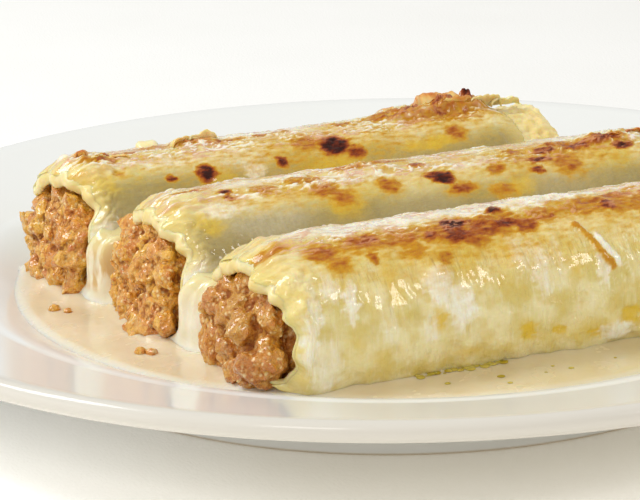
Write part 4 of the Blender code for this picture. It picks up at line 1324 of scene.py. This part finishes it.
def crisp_finish():
    """Dry, thin cheese: tan sheets that darken towards their torn edges."""
    finish = Finish("crisp_cheese")
    lay, toast = finish.attribute("lay", "Vector"), finish.attribute("toast")
    streak = finish.noise(0.8, 3, lay, stretch=(4, 1, 1))
    heat = (toast + (streak - 0.5) * 0.5 * toast.between(0.05, 0.3)).clamped()
    tint = finish.node("ShaderNodeValToRGB", {"stops": [
        (0.0, colour(250, 236, 184)), (0.16, colour(242, 208, 128)), (0.32, colour(224, 162, 74)),
        (0.48, colour(202, 122, 44)), (0.66, colour(158, 74, 22)), (1.0, colour(84, 30, 12))]},
        {"Fac": heat})
    tint = finish.mix(streak.between(0.55, 0.7) * 0.5, tint, colour(248, 220, 164))
    return finish.shade({
        "Base Color": tint, "Roughness": 0.25 + 0.3 * streak, "Coat Weight": 0.3, "Coat Roughness": 0.12,
        "Normal": finish.bump(finish.noise(0.6, 2, lay, stretch=(3, 1, 1), shift=2), 0.2)},
        soft=(0.4, (1.0, 0.55, 0.2), 1.2 * MM))


CRISP = crisp_finish()
for name, listed in FLAPS.items():
    roll = rolls[name]
    made = [flap_mesh(roll, *flap, seed=3.1 * order + roll.seed) for order, flap in enumerate(listed)]
    shreds = add_piece("crisp_shreds_" + name, *join(*[flap[:2] for flap in made]), finish=CRISP)
    store(shreds.data, "toast", np.concatenate([flap[2] for flap in made]))
    store(shreds.data, "lay", np.concatenate([flap[3] for flap in made]))
    outward_faces(shreds)
    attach(shreds, "root")

# =========================================================== oil and crumbs
# Butter oil ran out of the baked topping: a thin line of it and round drops lie on the sauce along
# the front roll.  A few crumbs of mince fell beside the cut ends.

# Strips of sauce that carry oil: along the front roll, out from its side, spacing, density, size of
# a drop and seed.
OIL_STRIPS = {
    "butter_oil_line": ((28, 50), (-2.2, -1.2), 0.8, 4e6, 0.7, 4),
    "butter_oil_drops": ((24, 116), (2.2, 9.5), 3.2, 4e4, 0.62, 12)}
CRUMB_SPOTS = [(-74.5, -30.5), (-76.5, -28.8), (-80.8, 6.0), (-83.0, 9.0), (-72.0, -72.5)]


def oil_finish():
    finish = Finish("butter_oil")
    cloud = finish.noise(2.5, 2).between(0.35, 0.65)
    tint = finish.mix(cloud, colour(174, 150, 30), colour(204, 184, 84))
    return finish.shade({
        "Base Color": tint, "Roughness": 0.12, "Specular IOR Level": 0.3,
        "Normal": finish.bump(finish.noise(1.5, 1), 0.04)}, soft=(0.4, (1.0, 0.8, 0.3), 1.0 * MM))


OIL = oil_finish()
for name, (reach, band, spacing, density, size, seed) in OIL_STRIPS.items():
    strip = [rolls["front"].ground(along, ROLL_HALF_WIDTH + out) for along in reach for out in band]
    oil = add_piece(name, [(x, y, pool_level(x, y).item() + 0.05) for x, y in strip], [(0, 2, 3, 1)])
    dripping = Growth(name, {
        "Spacing": ("Float", spacing * MM), "Density": ("Float", density),
        "Drop": ("Float", size * MM), "Seed": ("Int", seed)})
    spots = dripping.strewn({
        "Distance Min": dripping.given("Spacing"), "Density Max": dripping.given("Density"),
        "Seed": dripping.given("Seed")})
    ball = dripping.node("GeometryNodeMeshUVSphere", {}, {
        "Segments": 20, "Rings": 12, "Radius": dripping.given("Drop")})
    sizes = dripping.vary(0.35, 1.35, 5)
    flat = dripping.node("ShaderNodeCombineXYZ", {}, {"X": sizes * 1.2, "Y": sizes, "Z": sizes * 0.34})
    dripping.bake(oil, dripping.node("GeometryNodeInstanceOnPoints", {}, {
        "Points": spots, "Instance": ball, "Scale": flat}), OIL)
    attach(oil, "root")


def crumb_mesh(x, y, seed):
    """One irregular crumb, half sunk in the sauce."""
    turns = np.linspace(0, 2 * math.pi, 20, endpoint=False)
    radius = 0.9 + 0.5 * abs(math.sin(seed * 2.1))
    rings = []
    for tilt in np.linspace(0.12, math.pi - 0.12, 12):
        shape = np.stack([np.sin(tilt) * np.cos(turns), np.sin(tilt) * np.sin(turns),
                          0.7 * np.cos(tilt) + 0 * turns], axis=-1)
        bumpy = 1 + 0.35 * layered(*(shape * 1.3).T, seed=seed)
        rings.append(np.array([x, y, SAUCE_LEVEL + 0.25]) + radius * shape * bumpy[:, None])
    return closed_rod(rings[::-1])


crumb_shapes = [crumb_mesh(x, y, order + 1.0) for order, (x, y) in enumerate(CRUMB_SPOTS)]
crumbs = add_piece("fallen_crumbs", *join(*crumb_shapes), finish=MEAT)
outward_faces(crumbs)
store(crumbs.data, "crevice", np.full(len(crumbs.data.vertices), 0.1))
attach(crumbs, "root")
